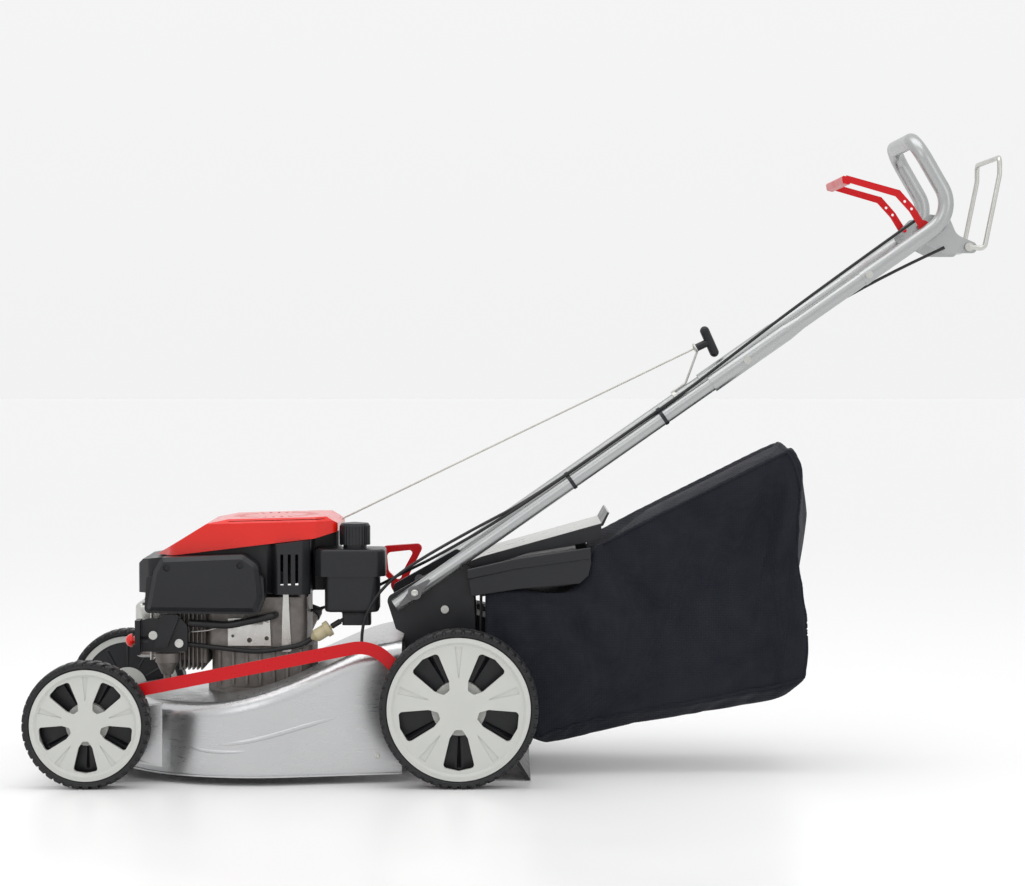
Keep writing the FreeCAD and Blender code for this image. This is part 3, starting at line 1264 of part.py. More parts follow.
def bag_frame():
    """Plastic front rim and top grip of the grass bag, with its two hooks."""
    cheek = side_prism([(66, 325), (4, 343), (-112, 364), (-118, 345), (-108, 320), (-90, 308), (62, 288)],
                       112.6, 117.6)
    top = side_prism([(66, 322), (60, 326), (4, 339), (-96, 356), (-96, 352), (4, 335), (60, 322)], -113, 113)
    front = side_prism([(60, 322), (63, 322), (63, 130), (60, 130)], -117.6, 117.6)
    mouth = Part.makeBox(40, 204, 168, point(40, -102, 140))
    shape = cheek.fuse([mirrored_y(cheek), top, front.cut(mouth)])
    clear = rod(point(97, -130, 330), point(97, 130, 330), 20)
    return finish(feature("bag_frame", shape.removeSplitter().cut(clear)))


def bag_fabric():
    """Woven sack, a closed solid of its outer shape."""
    outline = [(56, 300), (-100, 305), (-122, 371), (-300, 455), (-432, 517), (-452, 480), (-458, 322),
               (-461, 222), (-440, 152), (-300, 120), (-192, 99), (-36, 55), (54, 104)]
    half = size("bag_half_width")
    body = side_prism(outline, -half, half, [4, 10, 10, 400, 14, 60, 300, 60, 12, 300, 300, 20, 12])
    nose = [Part.makeBox(300, 100, 300, point(-124, y_low, 284)) for y_low in (108, -208)]
    return finish(feature("bag_fabric", body.cut(nose)))


for side, word in ((1, "left"), (-1, "right")):
    lower_tube("lower_tube_" + word, side * TUBE_Y)
    upper_tube("upper_tube_" + word, side * TUBE_Y)
    wing_lever("wing_lever_" + word, side)

for make in (handle_bow, stop_bail, drive_bail, handle_bolts, rope_guide, starter_grip, starter_rope,
             cable_ties, stop_cable, drive_cable, rear_flap, trailing_flap, bag_frame, bag_fabric):
    make()


# ---------------------------------------------------------------- checks and files

doc.recompute()
for item in doc.Objects:
    if "Invalid" in item.State or "Error" in item.State:
        raise RuntimeError("%s did not rebuild: %s" % (item.Name, item.State))
for item in parts:
    if item.Shape.isNull() or not item.Shape.isValid():
        raise RuntimeError("%s has no valid shape" % item.Label)

os.makedirs("parts", exist_ok=True)
for item in parts:
    item.Shape.exportStep("parts/%s.step" % item.Label)

low = Vector(*[min(getattr(item.Shape.BoundBox, axis + "Min") for item in parts) for axis in "XYZ"])
high = Vector(*[max(getattr(item.Shape.BoundBox, axis + "Max") for item in parts) for axis in "XYZ"])
print("%d sub-parts, from %s to %s" % (len(parts), low, high))
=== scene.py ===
"""Looks of the walk-behind lawn mower: materials, fabric bag, tyres, cords, light and camera.

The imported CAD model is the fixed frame: +X forward, +Y to the operator's left, +Z up, in metres.
"""
import json
import math

import bmesh
import bpy
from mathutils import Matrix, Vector


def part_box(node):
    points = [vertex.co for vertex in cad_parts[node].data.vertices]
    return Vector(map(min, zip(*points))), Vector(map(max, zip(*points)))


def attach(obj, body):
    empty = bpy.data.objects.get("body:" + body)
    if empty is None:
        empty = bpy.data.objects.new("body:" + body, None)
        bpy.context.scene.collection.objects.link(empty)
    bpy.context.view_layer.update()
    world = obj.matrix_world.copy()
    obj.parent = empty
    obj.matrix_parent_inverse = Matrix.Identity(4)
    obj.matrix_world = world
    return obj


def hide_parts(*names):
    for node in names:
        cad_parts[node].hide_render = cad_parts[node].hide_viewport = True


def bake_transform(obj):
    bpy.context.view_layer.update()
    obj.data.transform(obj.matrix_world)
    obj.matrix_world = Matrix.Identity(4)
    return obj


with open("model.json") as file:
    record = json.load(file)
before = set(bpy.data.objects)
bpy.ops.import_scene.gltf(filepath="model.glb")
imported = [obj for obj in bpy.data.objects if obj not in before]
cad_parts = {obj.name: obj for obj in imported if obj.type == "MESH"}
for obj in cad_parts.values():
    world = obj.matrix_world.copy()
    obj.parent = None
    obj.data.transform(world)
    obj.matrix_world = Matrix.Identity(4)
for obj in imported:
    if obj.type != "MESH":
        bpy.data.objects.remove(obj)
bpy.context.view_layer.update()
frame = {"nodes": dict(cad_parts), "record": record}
nodes = frame["nodes"]
scene = bpy.context.scene

SIDES = ((1, "left"), (-1, "right"))
WHEELS = ("front_left", "front_right", "rear_left", "rear_right")


# ---------------------------------------------------------------- mesh helpers
def link(obj):
    scene.collection.objects.link(obj)
    return obj


def mesh_object(name, verts, faces, smooth=True):
    """A mesh object from plain vertices and faces, with normals pointing out."""
    mesh = bpy.data.meshes.new(name)
    mesh.from_pydata([tuple(v) for v in verts], [], faces)
    bm = bmesh.new()
    bm.from_mesh(mesh)
    bmesh.ops.recalc_face_normals(bm, faces=bm.faces)
    bm.to_mesh(mesh)
    bm.free()
    for face in mesh.polygons:
        face.use_smooth = smooth
    return link(bpy.data.objects.new(name, mesh))


def grid_faces(rows, columns, rows_close, columns_close):
    """Four-sided faces between neighbours in a grid of points, whose rows or columns may close in a loop."""
    faces = []
    for i in range(rows if rows_close else rows - 1):
        for j in range(columns if columns_close else columns - 1):
            here = i * columns
            after = (i + 1) % rows * columns
            beside = (j + 1) % columns
            faces.append((here + j, here + beside, after + beside, after + j))
    return faces


def side_prism(name, outline, y_first, y_second, smooth):
    """A closed solid with this outline in the side view, between two values of y."""
    count = len(outline)
    verts = [(x, y, z) for y in (y_first, y_second) for x, z in outline]
    faces = [tuple(range(count)), tuple(range(2 * count - 1, count - 1, -1))]
    faces += [(i, (i + 1) % count, count + (i + 1) % count, count + i) for i in range(count)]
    return mesh_object(name, verts, faces, smooth)


def joined(name, parts):
    """One object from several, with their materials kept."""
    bpy.ops.object.select_all(action="DESELECT")
    for part in parts:
        part.select_set(True)
    bpy.context.view_layer.objects.active = parts[0]
    bpy.ops.object.join()
    parts[0].name = name
    return parts[0]


def apply_modifiers(obj):
    """The mesh that the object's modifiers give, made its own."""
    graph = bpy.context.evaluated_depsgraph_get()
    mesh = bpy.data.meshes.new_from_object(obj.evaluated_get(graph))
    old = obj.data
    obj.modifiers.clear()
    obj.data = mesh
    bpy.data.meshes.remove(old)
    return obj


def route_curve(name, points):
    """A smooth NURBS line with the route's points as its control points."""
    curve = bpy.data.curves.new(name, "CURVE")
    curve.dimensions = "3D"
    curve.resolution_u = 10
    spline = curve.splines.new("NURBS")
    spline.points.add(len(points) - 1)
    for place, point in zip(spline.points, points):
        place.co = (*point, 1.0)
    spline.order_u = 3
    spline.use_endpoint_u = True
    return curve


def route_line(points):
    """Points along the route's smooth line."""
    curve = route_curve("route", points)
    obj = link(bpy.data.objects.new("route", curve))
    bpy.context.view_layer.update()
    graph = bpy.context.evaluated_depsgraph_get()
    mesh = bpy.data.meshes.new_from_object(obj.evaluated_get(graph))
    line = [v.co.copy() for v in mesh.vertices]
    bpy.data.objects.remove(obj)
    bpy.data.curves.remove(curve)
    bpy.data.meshes.remove(mesh)
    return line


def cord_mesh(name, points, radius, sides=12):
    """A round tube along the route's smooth line, closed at both ends."""
    curve = route_curve(name, points)
    curve.bevel_depth = radius
    curve.bevel_resolution = sides // 4
    curve.use_fill_caps = True
    obj = link(bpy.data.objects.new(name, curve))
    bpy.context.view_layer.update()
    graph = bpy.context.evaluated_depsgraph_get()
    mesh = bpy.data.meshes.new_from_object(obj.evaluated_get(graph))
    bpy.data.objects.remove(obj)
    bpy.data.curves.remove(curve)
    for face in mesh.polygons:
        face.use_smooth = True
    return link(bpy.data.objects.new(name, mesh))


WELD_DISTANCE = 0.00002
SHARP_ANGLE = math.radians(32.0)


def soften_edges(obj, width):
    """Rounds a CAD node's sharp edges, so that they catch the light."""
    weld = obj.modifiers.new("weld", "WELD")
    weld.merge_threshold = WELD_DISTANCE
    bevel = obj.modifiers.new("bevel", "BEVEL")
    bevel.width = width
    bevel.segments = 2
    bevel.limit_method = "ANGLE"
    bevel.angle_limit = SHARP_ANGLE
    bevel.use_clamp_overlap = True
    bevel.harden_normals = False
    for face in obj.data.polygons:
        face.use_smooth = True
    smooth = obj.modifiers.new("normals", "WEIGHTED_NORMAL")
    smooth.keep_sharp = False


# ---------------------------------------------------------------- material helpers
class Look:
    """A Principled material with a few procedural layers over object coordinates."""

    def __init__(self, name, color, roughness, metallic=0.0, specular=0.5, coat=0.0, coat_roughness=0.1,
                 sheen=0.0):
        self.material = bpy.data.materials.new(name)
        self.material.use_nodes = True
        self.tree = self.material.node_tree
        self.shader = self.tree.nodes["Principled BSDF"]
        self.color = color
        self.set("Base Color", (*color, 1.0))
        self.set("Roughness", roughness)
        self.set("Metallic", metallic)
        self.set("Specular IOR Level", specular)
        self.set("Coat Weight", coat)
        self.set("Coat Roughness", coat_roughness)
        self.set("Sheen Weight", sheen)
        self.place = self.node("ShaderNodeTexCoord").outputs["Object"]
        self.normal = None

    def set(self, socket, value):
        self.shader.inputs[socket].default_value = value

    def node(self, kind, **values):
        made = self.tree.nodes.new(kind)
        for key, value in values.items():
            setattr(made, key, value)
        return made

    def wire(self, a, b):
        self.tree.links.new(a, b)

    def stretched(self, scale):
        """Object coordinates, scaled per axis."""
        mapping = self.node("ShaderNodeMapping")
        self.wire(self.place, mapping.inputs["Vector"])
        mapping.inputs["Scale"].default_value = scale
        return mapping.outputs["Vector"]

    def noise(self, scale, detail=3.0, rough=0.55, stretch=None):
        made = self.node("ShaderNodeTexNoise")
        self.wire(self.stretched(stretch) if stretch else self.place, made.inputs["Vector"])
        made.inputs["Scale"].default_value = scale
        made.inputs["Detail"].default_value = detail
        made.inputs["Roughness"].default_value = rough
        return made.outputs["Fac"]

    def remap(self, value, low, high, from_low=0.3, from_high=0.7):
        made = self.node("ShaderNodeMapRange")
        self.wire(value, made.inputs["Value"])
        ends = {"From Min": from_low, "From Max": from_high, "To Min": low, "To Max": high}
        for key, number in ends.items():
            made.inputs[key].default_value = number
        return made.outputs["Result"]

    def tint(self, mask, color):
        """Mixes a second colour in by the mask, over what the base colour is so far."""
        mix = self.node("ShaderNodeMix", data_type="RGBA")
        before = self.shader.inputs["Base Color"]
        if before.is_linked:
            self.wire(before.links[0].from_socket, mix.inputs["A"])
        else:
            mix.inputs["A"].default_value = (*self.color, 1.0)
        mix.inputs["B"].default_value = (*color, 1.0)
        self.wire(mask, mix.inputs["Factor"])
        self.wire(mix.outputs["Result"], before)

    def vary_roughness(self, value, low, high):
        self.wire(self.remap(value, low, high), self.shader.inputs["Roughness"])

    def bump(self, value, distance, strength=1.0):
        made = self.node("ShaderNodeBump")
        made.inputs["Distance"].default_value = distance
        made.inputs["Strength"].default_value = strength
        self.wire(value, made.inputs["Height"])
        if self.normal:
            self.wire(self.normal, made.inputs["Normal"])
        self.normal = made.outputs["Normal"]
        self.wire(self.normal, self.shader.inputs["Normal"])

    def edge_mask(self, radius, low=0.02, high=0.2):
        """1 along sharp edges and 0 on open faces, from how the rounded normal leaves the true one."""
        rounded = self.node("ShaderNodeBevel", samples=4)
        rounded.inputs["Radius"].default_value = radius
        true = self.node("ShaderNodeNewGeometry")
        dot = self.node("ShaderNodeVectorMath", operation="DOT_PRODUCT")
        self.wire(rounded.outputs["Normal"], dot.inputs[0])
        self.wire(true.outputs["Normal"], dot.inputs[1])
        flipped = self.node("ShaderNodeMath", operation="SUBTRACT")
        flipped.inputs[0].default_value = 1.0
        self.wire(dot.outputs["Value"], flipped.inputs[1])
        return self.remap(flipped.outputs["Value"], 0.0, 1.0, low, high)

    def scuffed(self, mask, amount):
        """The mask broken up by noise, for worn edges."""
        patchy = self.remap(self.noise(90.0, 4.0), 0.0, amount, 0.4, 0.7)
        both = self.node("ShaderNodeMath", operation="MULTIPLY")
        self.wire(mask, both.inputs[0])
        self.wire(patchy, both.inputs[1])
        return both.outputs["Value"]


def paint(obj, look):
    """The object takes this look on its whole surface."""
    obj.data.materials.clear()
    obj.data.materials.append(look.material)


# ---------------------------------------------------------------- materials
def brushed_deck():
    look = Look("deck_steel", (0.54, 0.545, 0.55), 0.3, metallic=0.93, specular=0.6)
    streaks = look.noise(14.0, 5.0, 0.6, stretch=(3.0, 3.0, 60.0))
    look.vary_roughness(streaks, 0.25, 0.37)
    look.tint(look.remap(look.noise(5.0, 2.0), 0.0, 0.35), (0.45, 0.455, 0.465))
    look.bump(streaks, 0.00003, 0.15)
    look.bump(look.noise(900.0, 2.0), 0.00003, 0.3)
    return look


def grained_plastic(name, color, roughness, lighter):
    look = Look(name, color, roughness, specular=0.38)
    grain = look.noise(1500.0, 2.0)
    look.vary_roughness(look.noise(40.0, 4.0), roughness - 0.05, roughness + 0.08)
    look.tint(look.remap(look.noise(9.0, 3.0), 0.0, 0.5), lighter)
    look.tint(look.scuffed(look.edge_mask(0.0012), 0.45), tuple(3.5 * c + 0.02 for c in lighter))
    look.bump(grain, 0.00008, 0.35)
    return look


def gloss_red():
    look = Look("red_cover", (0.74, 0.012, 0.004), 0.24, specular=0.35, coat=0.3, coat_roughness=0.08)
    look.vary_roughness(look.noise(60.0, 4.0), 0.18, 0.28)
    look.tint(look.remap(look.noise(6.0, 2.0), 0.0, 0.3), (0.62, 0.008, 0.003))
    look.tint(look.scuffed(look.edge_mask(0.001), 0.4), (0.8, 0.08, 0.05))
    look.bump(look.noise(500.0, 2.0), 0.00003, 0.25)
    return look


def red_enamel():
    look = Look("red_enamel", (0.55, 0.003, 0.007), 0.36, specular=0.25, coat=0.1, coat_roughness=0.15)
    look.vary_roughness(look.noise(80.0, 3.0), 0.26, 0.4)
    look.tint(look.scuffed(look.edge_mask(0.0008), 0.5), (0.62, 0.03, 0.03))
    look.bump(look.noise(700.0, 3.0), 0.00005, 0.4)
    return look


def plated():
    look = Look("zinc_plate", (0.58, 0.58, 0.56), 0.3, metallic=1.0)
    clouds = look.noise(70.0, 4.0)
    look.vary_roughness(clouds, 0.22, 0.42)
    look.tint(look.remap(look.noise(45.0, 3.0), 0.0, 0.5), (0.5, 0.49, 0.44))
    look.bump(look.noise(600.0, 2.0), 0.00003, 0.4)
    return look


def casting():
    look = Look("casting", (0.26, 0.245, 0.23), 0.5, metallic=0.75)
    look.vary_roughness(look.noise(120.0, 4.0), 0.42, 0.62)
    look.tint(look.remap(look.noise(25.0, 4.0), 0.0, 0.7), (0.11, 0.095, 0.085))
    look.bump(look.noise(420.0, 4.0, 0.7), 0.0002, 0.6)
    return look


def dark_iron():
    look = Look("dark_iron", (0.055, 0.055, 0.06), 0.42, metallic=0.6)
    look.vary_roughness(look.noise(90.0, 4.0), 0.36, 0.55)
    look.tint(look.scuffed(look.edge_mask(0.001), 0.6), (0.4, 0.4, 0.4))
    look.bump(look.noise(300.0, 3.0), 0.00008, 0.4)
    return look


def wheel_grey():
    look = Look("wheel_grey", (0.56, 0.57, 0.54), 0.42, specular=0.45)
    look.vary_roughness(look.noise(60.0, 3.0), 0.38, 0.5)
    look.tint(look.remap(look.noise(18.0, 3.0), 0.0, 0.4), (0.51, 0.52, 0.49))
    look.bump(look.noise(1200.0, 2.0), 0.00006, 0.3)
    return look


def rubber(name, color, roughness):
    look = Look(name, color, roughness, specular=0.4)
    look.vary_roughness(look.noise(70.0, 4.0), roughness - 0.08, roughness + 0.1)
    look.tint(look.remap(look.noise(30.0, 4.0), 0.0, 0.5), tuple(1.9 * c for c in color))
    look.bump(look.noise(800.0, 3.0), 0.00008, 0.4)
    return look


def silver_tube():
    look = Look("silver_tube", (0.43, 0.44, 0.44), 0.3, metallic=0.85, specular=0.6)
    look.vary_roughness(look.noise(70.0, 3.0), 0.26, 0.38)
    look.tint(look.remap(look.noise(12.0, 3.0), 0.0, 0.3), (0.37, 0.38, 0.385))
    look.bump(look.noise(400.0, 2.0), 0.00002, 0.2)
    return look


def cream_plastic():
    look = Look("cream_plastic", (0.62, 0.56, 0.36), 0.35, specular=0.5)
    look.vary_roughness(look.noise(90.0, 3.0), 0.3, 0.45)
    look.tint(look.remap(look.noise(60.0, 3.0), 0.0, 0.6), (0.5, 0.42, 0.24))
    look.bump(look.noise(700.0, 2.0), 0.00005, 0.3)
    return look


LOOKS = {
    "steel_deck": brushed_deck(),
    "black_plastic": grained_plastic("black_plastic", (0.0095, 0.0102, 0.0125), 0.33, (0.015, 0.016, 0.019)),
    "red_plastic": gloss_red(),
    "red_paint": red_enamel(),
    "cast_metal": casting(),
    "plated_steel": plated(),
    "blade_steel": dark_iron(),
    "wheel_plastic": wheel_grey(),
    "tyre_rubber": rubber("tyre_rubber", (0.0075, 0.0078, 0.009), 0.42),
    "silver_tube": silver_tube(),
    "grey_plastic": grained_plastic("grey_plastic", (0.13, 0.13, 0.135), 0.4, (0.17, 0.17, 0.175)),
    "hose_rubber": rubber("hose_rubber", (0.012, 0.012, 0.013), 0.4),
    "cream_plastic": cream_plastic(),
}


# ---------------------------------------------------------------- tyres
RUBBER_HEIGHT = 0.0125
TREAD_DEPTH = 0.0032
TREAD_BAND = 0.005
TREAD_PITCH = 0.0155
SAMPLES_PER_LUG = 12
CENTRE_GROOVE = 0.07
CENTRE_GROOVE_DEPTH = 0.7
LUG_START = 0.2
LUG_SLANT = 0.45
LUG_GAP = 0.3


def tread_depth(across, lug_phase):
    """How deep the tread is cut at a place: across is -1 to 1, lug_phase counts the lugs."""
    reach = abs(across)
    if reach < CENTRE_GROOVE:
        return CENTRE_GROOVE_DEPTH
    stagger = 0.5 if across > 0 else 0.0
    phase = (lug_phase + LUG_SLANT * reach + stagger) % 1.0
    return 1.0 if phase < LUG_GAP and reach > LUG_START else 0.0


def tyre(node_name, body):
    """Rubber tyre with staggered lugs that run over its shoulders."""
    low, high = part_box(node_name)
    centre = (low + high) / 2
    outer = (high.x - low.x) / 2
    half = (high.y - low.y) / 2
    inner = outer - RUBBER_HEIGHT
    lugs = round(2 * math.pi * outer / TREAD_PITCH)
    around = lugs * SAMPLES_PER_LUG
    bead = [(-0.79, inner), (-0.93, inner + 0.0025), (-0.97, inner + 0.0042), (-0.955, inner + 0.005),
            (-0.985, inner + 0.0065), (-1.0, outer - 0.0045)]
    shoulder = [(-0.985, outer - 0.0025), (-0.94, outer - 0.0011), (-0.86, outer - 0.0005),
                (-0.7, outer - 0.0002), (-0.45, outer), (-0.24, outer), (-0.19, outer), (-0.09, outer),
                (-0.06, outer)]
    profile = bead + shoulder
    profile = profile + [(-across, radius) for across, radius in reversed(profile)]
    verts = []
    for i in range(around):
        angle = 2 * math.pi * i / around
        for across, radius in profile:
            cut = tread_depth(across, i / SAMPLES_PER_LUG) if radius > outer - TREAD_BAND else 0.0
            radius = radius - TREAD_DEPTH * cut
            side = across * (1.0 - 0.05 * cut if abs(across) > 0.9 else 1.0)
            verts.append(centre + Vector((radius * math.cos(angle), side * half, radius * math.sin(angle))))
    obj = mesh_object(node_name + "_tread", verts, grid_faces(around, len(profile), True, True))
    sharp = obj.modifiers.new("split", "EDGE_SPLIT")
    sharp.split_angle = math.radians(38)
    paint(obj, LOOKS["tyre_rubber"])
    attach(obj, body)
    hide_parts(node_name)


for place in WHEELS:
    tyre(place + "_tyre", place + "_wheel")


# ---------------------------------------------------------------- grass bag
BAG_OUTLINE = [(0.054, 0.300), (-0.098, 0.305), (-0.122, 0.374), (-0.300, 0.463), (-0.440, 0.533),
               (-0.463, 0.496), (-0.466, 0.360), (-0.482, 0.260), (-0.487, 0.205), (-0.480, 0.158),
               (-0.450, 0.140), (-0.300, 0.114), (-0.192, 0.098), (-0.036, 0.064), (0.053, 0.114)]
BAG_HALF_WIDTH = 0.1435
BAG_CROWN = 0.024
BAG_VOXEL = 0.0075
BAG_REACH = 0.02
CLOTH_STEPS = 20
TOP_SEAM_START = (-0.122, 0.372)
TOP_SEAM_SLOPE = 0.47
SEAM_BAND = 0.012
SEAM_HOLD = 0.6
MOUTH_X = 0.035
CHEEK_SPACE = 0.1445
CHEEK_REAR = -0.13
CHEEK_FLOOR = 0.275
PIPING_RADIUS = 0.0021
PIPING_PROUD = 0.0005
PIPING_Y = 0.146


def bag_material():
    """Dark blue-black mesh fabric: three crossed sets of threads over soft, wide waves."""
    look = Look("bag_weave", (0.0075, 0.009, 0.0145), 0.8, specular=0.22, sheen=0.04)
    look.tint(look.remap(look.noise(7.0, 3.0), 0.0, 0.6), (0.0115, 0.0135, 0.021))
    threads = []
    for direction in ("X", "Y", "Z"):
        wave = look.node("ShaderNodeTexWave", wave_type="BANDS", bands_direction=direction)
        look.wire(look.place, wave.inputs["Vector"])
        wave.inputs["Scale"].default_value = 78.0
        wave.inputs["Distortion"].default_value = 0.4
        threads.append(wave.outputs["Fac"])
    flat_threads = look.node("ShaderNodeMath", operation="ADD")
    look.wire(threads[0], flat_threads.inputs[0])
    look.wire(threads[2], flat_threads.inputs[1])
    weave = look.node("ShaderNodeMath", operation="ADD")
    look.wire(flat_threads.outputs["Value"], weave.inputs[0])
    look.wire(threads[1], weave.inputs[1])
    height = weave.outputs["Value"]
    look.tint(look.remap(height, 0.0, 0.4, 1.4, 2.6), (0.016, 0.018, 0.026))
    look.vary_roughness(look.noise(30.0, 3.0), 0.7, 0.88)
    look.bump(look.noise(26.0, 3.0, 0.5), 0.0015, 0.35)
    look.bump(height, 0.00035, 0.7)
    return look


def fold(place, start, end, width, depth):
    """Depth of one soft crease at a place, given in the side view as (x, z)."""
    a = Vector(start)
    way = Vector(end) - a
    p = Vector((place.x, place.z)) - a
    t = p.dot(way) / way.length_squared
    fade = max(0.0, 1.0 - (2.0 * t - 1.0) ** 2) if 0 <= t <= 1 else 0.0
    off = (p - way * t).length * (1 if p.x * way.y - p.y * way.x > 0 else -1) / width
    return depth * fade * (math.exp(-off * off) - 0.6 * math.exp(-(off - 1.6) ** 2))


BAG_FOLDS = [((-0.452, 0.44), (-0.405, 0.20), 0.013, 0.0050), ((-0.425, 0.49), (-0.385, 0.30), 0.010, 0.0034),
             ((-0.450, 0.30), (-0.400, 0.15), 0.012, 0.0044), ((-0.13, 0.35), (-0.25, 0.24), 0.016, 0.0036),
             ((-0.05, 0.29), (-0.16, 0.14), 0.020, 0.0034), ((-0.10, 0.10), (-0.30, 0.16), 0.016, 0.0030),
             ((-0.30, 0.43), (-0.34, 0.26), 0.024, 0.0028), ((-0.28, 0.14), (-0.42, 0.21), 0.014, 0.0036),
             ((0.03, 0.12), (-0.07, 0.22), 0.014, 0.0030), ((-0.20, 0.40), (-0.39, 0.43), 0.018, 0.0026)]
FOLD_DEPTH = 1.9
PANEL_EDGE = 0.10
PANEL_FADE = 0.04


def bag_start():
    """Plain sack from the side outline, remeshed into even squares and crowned along its top."""
    obj = side_prism("bag", BAG_OUTLINE, BAG_HALF_WIDTH, -BAG_HALF_WIDTH, smooth=True)
    remesh = obj.modifiers.new("voxels", "REMESH")
    remesh.mode = "VOXEL"
    remesh.voxel_size = BAG_VOXEL
    smooth = obj.modifiers.new("smooth", "SMOOTH")
    smooth.factor = 0.5
    smooth.iterations = 3
    apply_modifiers(obj)
    for v in obj.data.vertices:
        high = min(1.0, max(0.0, (v.co.z - 0.25) / 0.1))
        back = min(1.0, max(0.0, (-0.145 - v.co.x) / 0.06))
        v.co.z += BAG_CROWN * high * back * max(0.0, 1.0 - (v.co.y / BAG_HALF_WIDTH) ** 2)
    return obj


def inflate(obj):
    """Lets the sack swell and hang as cloth, held at its mouth and along its top seams."""
    held = obj.vertex_groups.new(name="held")
    for v in obj.data.vertices:
        mouth = v.co.x > MOUTH_X
        side_edge = abs(abs(v.co.y) - BAG_HALF_WIDTH) < SEAM_BAND
        seam_height = TOP_SEAM_START[1] - (v.co.x - TOP_SEAM_START[0]) * TOP_SEAM_SLOPE
        if mouth or (side_edge and v.co.z > seam_height - 0.02):
            held.add([v.index], 1.0 if mouth else SEAM_HOLD, "REPLACE")
    before = [v.co.copy() for v in obj.data.vertices]
    cloth = obj.modifiers.new("cloth", "CLOTH")
    cloth.settings.quality = 5
    cloth.settings.mass = 0.25
    cloth.settings.vertex_group_mass = "held"
    cloth.settings.use_pressure = True
    cloth.settings.uniform_pressure_force = 2.4
    cloth.settings.tension_stiffness = 25
    cloth.settings.compression_stiffness = 10
    cloth.settings.bending_stiffness = 1.5
    cloth.settings.shrink_min = -0.012
    cloth.settings.effector_weights.gravity = 0.25
    cloth.collision_settings.use_collision = False
    cloth.point_cache.frame_start = 1
    cloth.point_cache.frame_end = CLOTH_STEPS
    for step in range(1, CLOTH_STEPS + 1):
        scene.frame_set(step)
    apply_modifiers(obj)
    scene.frame_set(1)
    for v, start in zip(obj.data.vertices, before):
        moved = v.co - start
        if moved.length > BAG_REACH:
            v.co = start + moved.normalized() * BAG_REACH


def crease(obj):
    """Presses long soft folds into both side panels, and keeps the sack clear of its plastic cheeks."""
    for v in obj.data.vertices:
        flat = max(0.0, (abs(v.co.y) - PANEL_EDGE) / PANEL_FADE)
        if flat > 0:
            side = 1 if v.co.y > 0 else -1
            total = FOLD_DEPTH * sum(fold(v.co, *values) for values in BAG_FOLDS)
            v.co.y -= side * total * min(1.0, flat)
            if v.co.x > CHEEK_REAR and v.co.z > CHEEK_FLOOR:
                v.co.y = side * min(abs(v.co.y), CHEEK_SPACE)


def on_surface(obj, points, proud):
    """The points moved to the object's surface, standing a little proud of it."""
    bpy.context.view_layer.update()
    placed = []
    for point in points:
        found, place, normal, _ = obj.closest_point_on_mesh(Vector(point))
        placed.append(place + normal * proud if found else Vector(point))
    return placed


def tube_mesh(name, line, radius, sides=8):
    """A round tube through a line's points."""
    verts = []
    for i, point in enumerate(line):
        way = (line[min(i + 1, len(line) - 1)] - line[max(i - 1, 0)]).normalized()
        across = way.cross(Vector((0, 0, 1)))
        across = (across if across.length > 0.1 else way.cross(Vector((0, 1, 0)))).normalized()
        up = across.cross(way)
        for j in range(sides):
            angle = 2 * math.pi * j / sides
            verts.append(point + (across * math.cos(angle) + up * math.sin(angle)) * radius)
    last = (len(line) - 1) * sides
    caps = [tuple(range(sides)), tuple(range(last, last + sides))]
    return mesh_object(name, verts, grid_faces(len(line), sides, False, True) + caps)


def bag():
    """The fabric sack, swollen, creased and made finer, with its material."""
    obj = bag_start()
    inflate(obj)
    crease(obj)
    finer = obj.modifiers.new("finer", "SUBSURF")
    finer.levels = finer.render_levels = 1
    apply_modifiers(obj)
    for face in obj.data.polygons:
        face.use_smooth = True
    look = bag_material()
    paint(obj, look)
    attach(obj, "bag")
    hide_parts("bag_fabric")
    return obj, look


bag_obj, bag_look = bag()


def seam(name, route):
    """A sewn piping that follows a route on the sack."""
    line = on_surface(bag_obj, route_line(route), PIPING_PROUD)
    obj = tube_mesh(name, line, PIPING_RADIUS)
    paint(obj, bag_look)
    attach(obj, "bag")


for side, word in SIDES:
    edge = side * PIPING_Y
    seam("bag_top_seam_" + word, [(-0.135, edge, 0.376), (-0.2, edge, 0.409), (-0.3, edge, 0.459),
                                  (-0.36, edge, 0.489), (-0.43, edge, 0.524)])
    seam("bag_rear_seam_" + word, [(-0.43, edge, 0.524), (-0.456, edge, 0.49), (-0.46, edge, 0.36),
                                   (-0.475, edge, 0.26), (-0.478, edge, 0.205), (-0.46, edge, 0.156)])
    seam("bag_bottom_seam_" + word, [(-0.46, edge, 0.156), (-0.3, edge, 0.118), (-0.19, edge, 0.097),
                                     (-0.1, edge, 0.078), (-0.034, edge, 0.062)])


# ---------------------------------------------------------------- backs of the wheels
BACK_RIBS = 12
STEPS_PER_RIB = 12
RIB_HEIGHT = 0.002
RIBBED = None


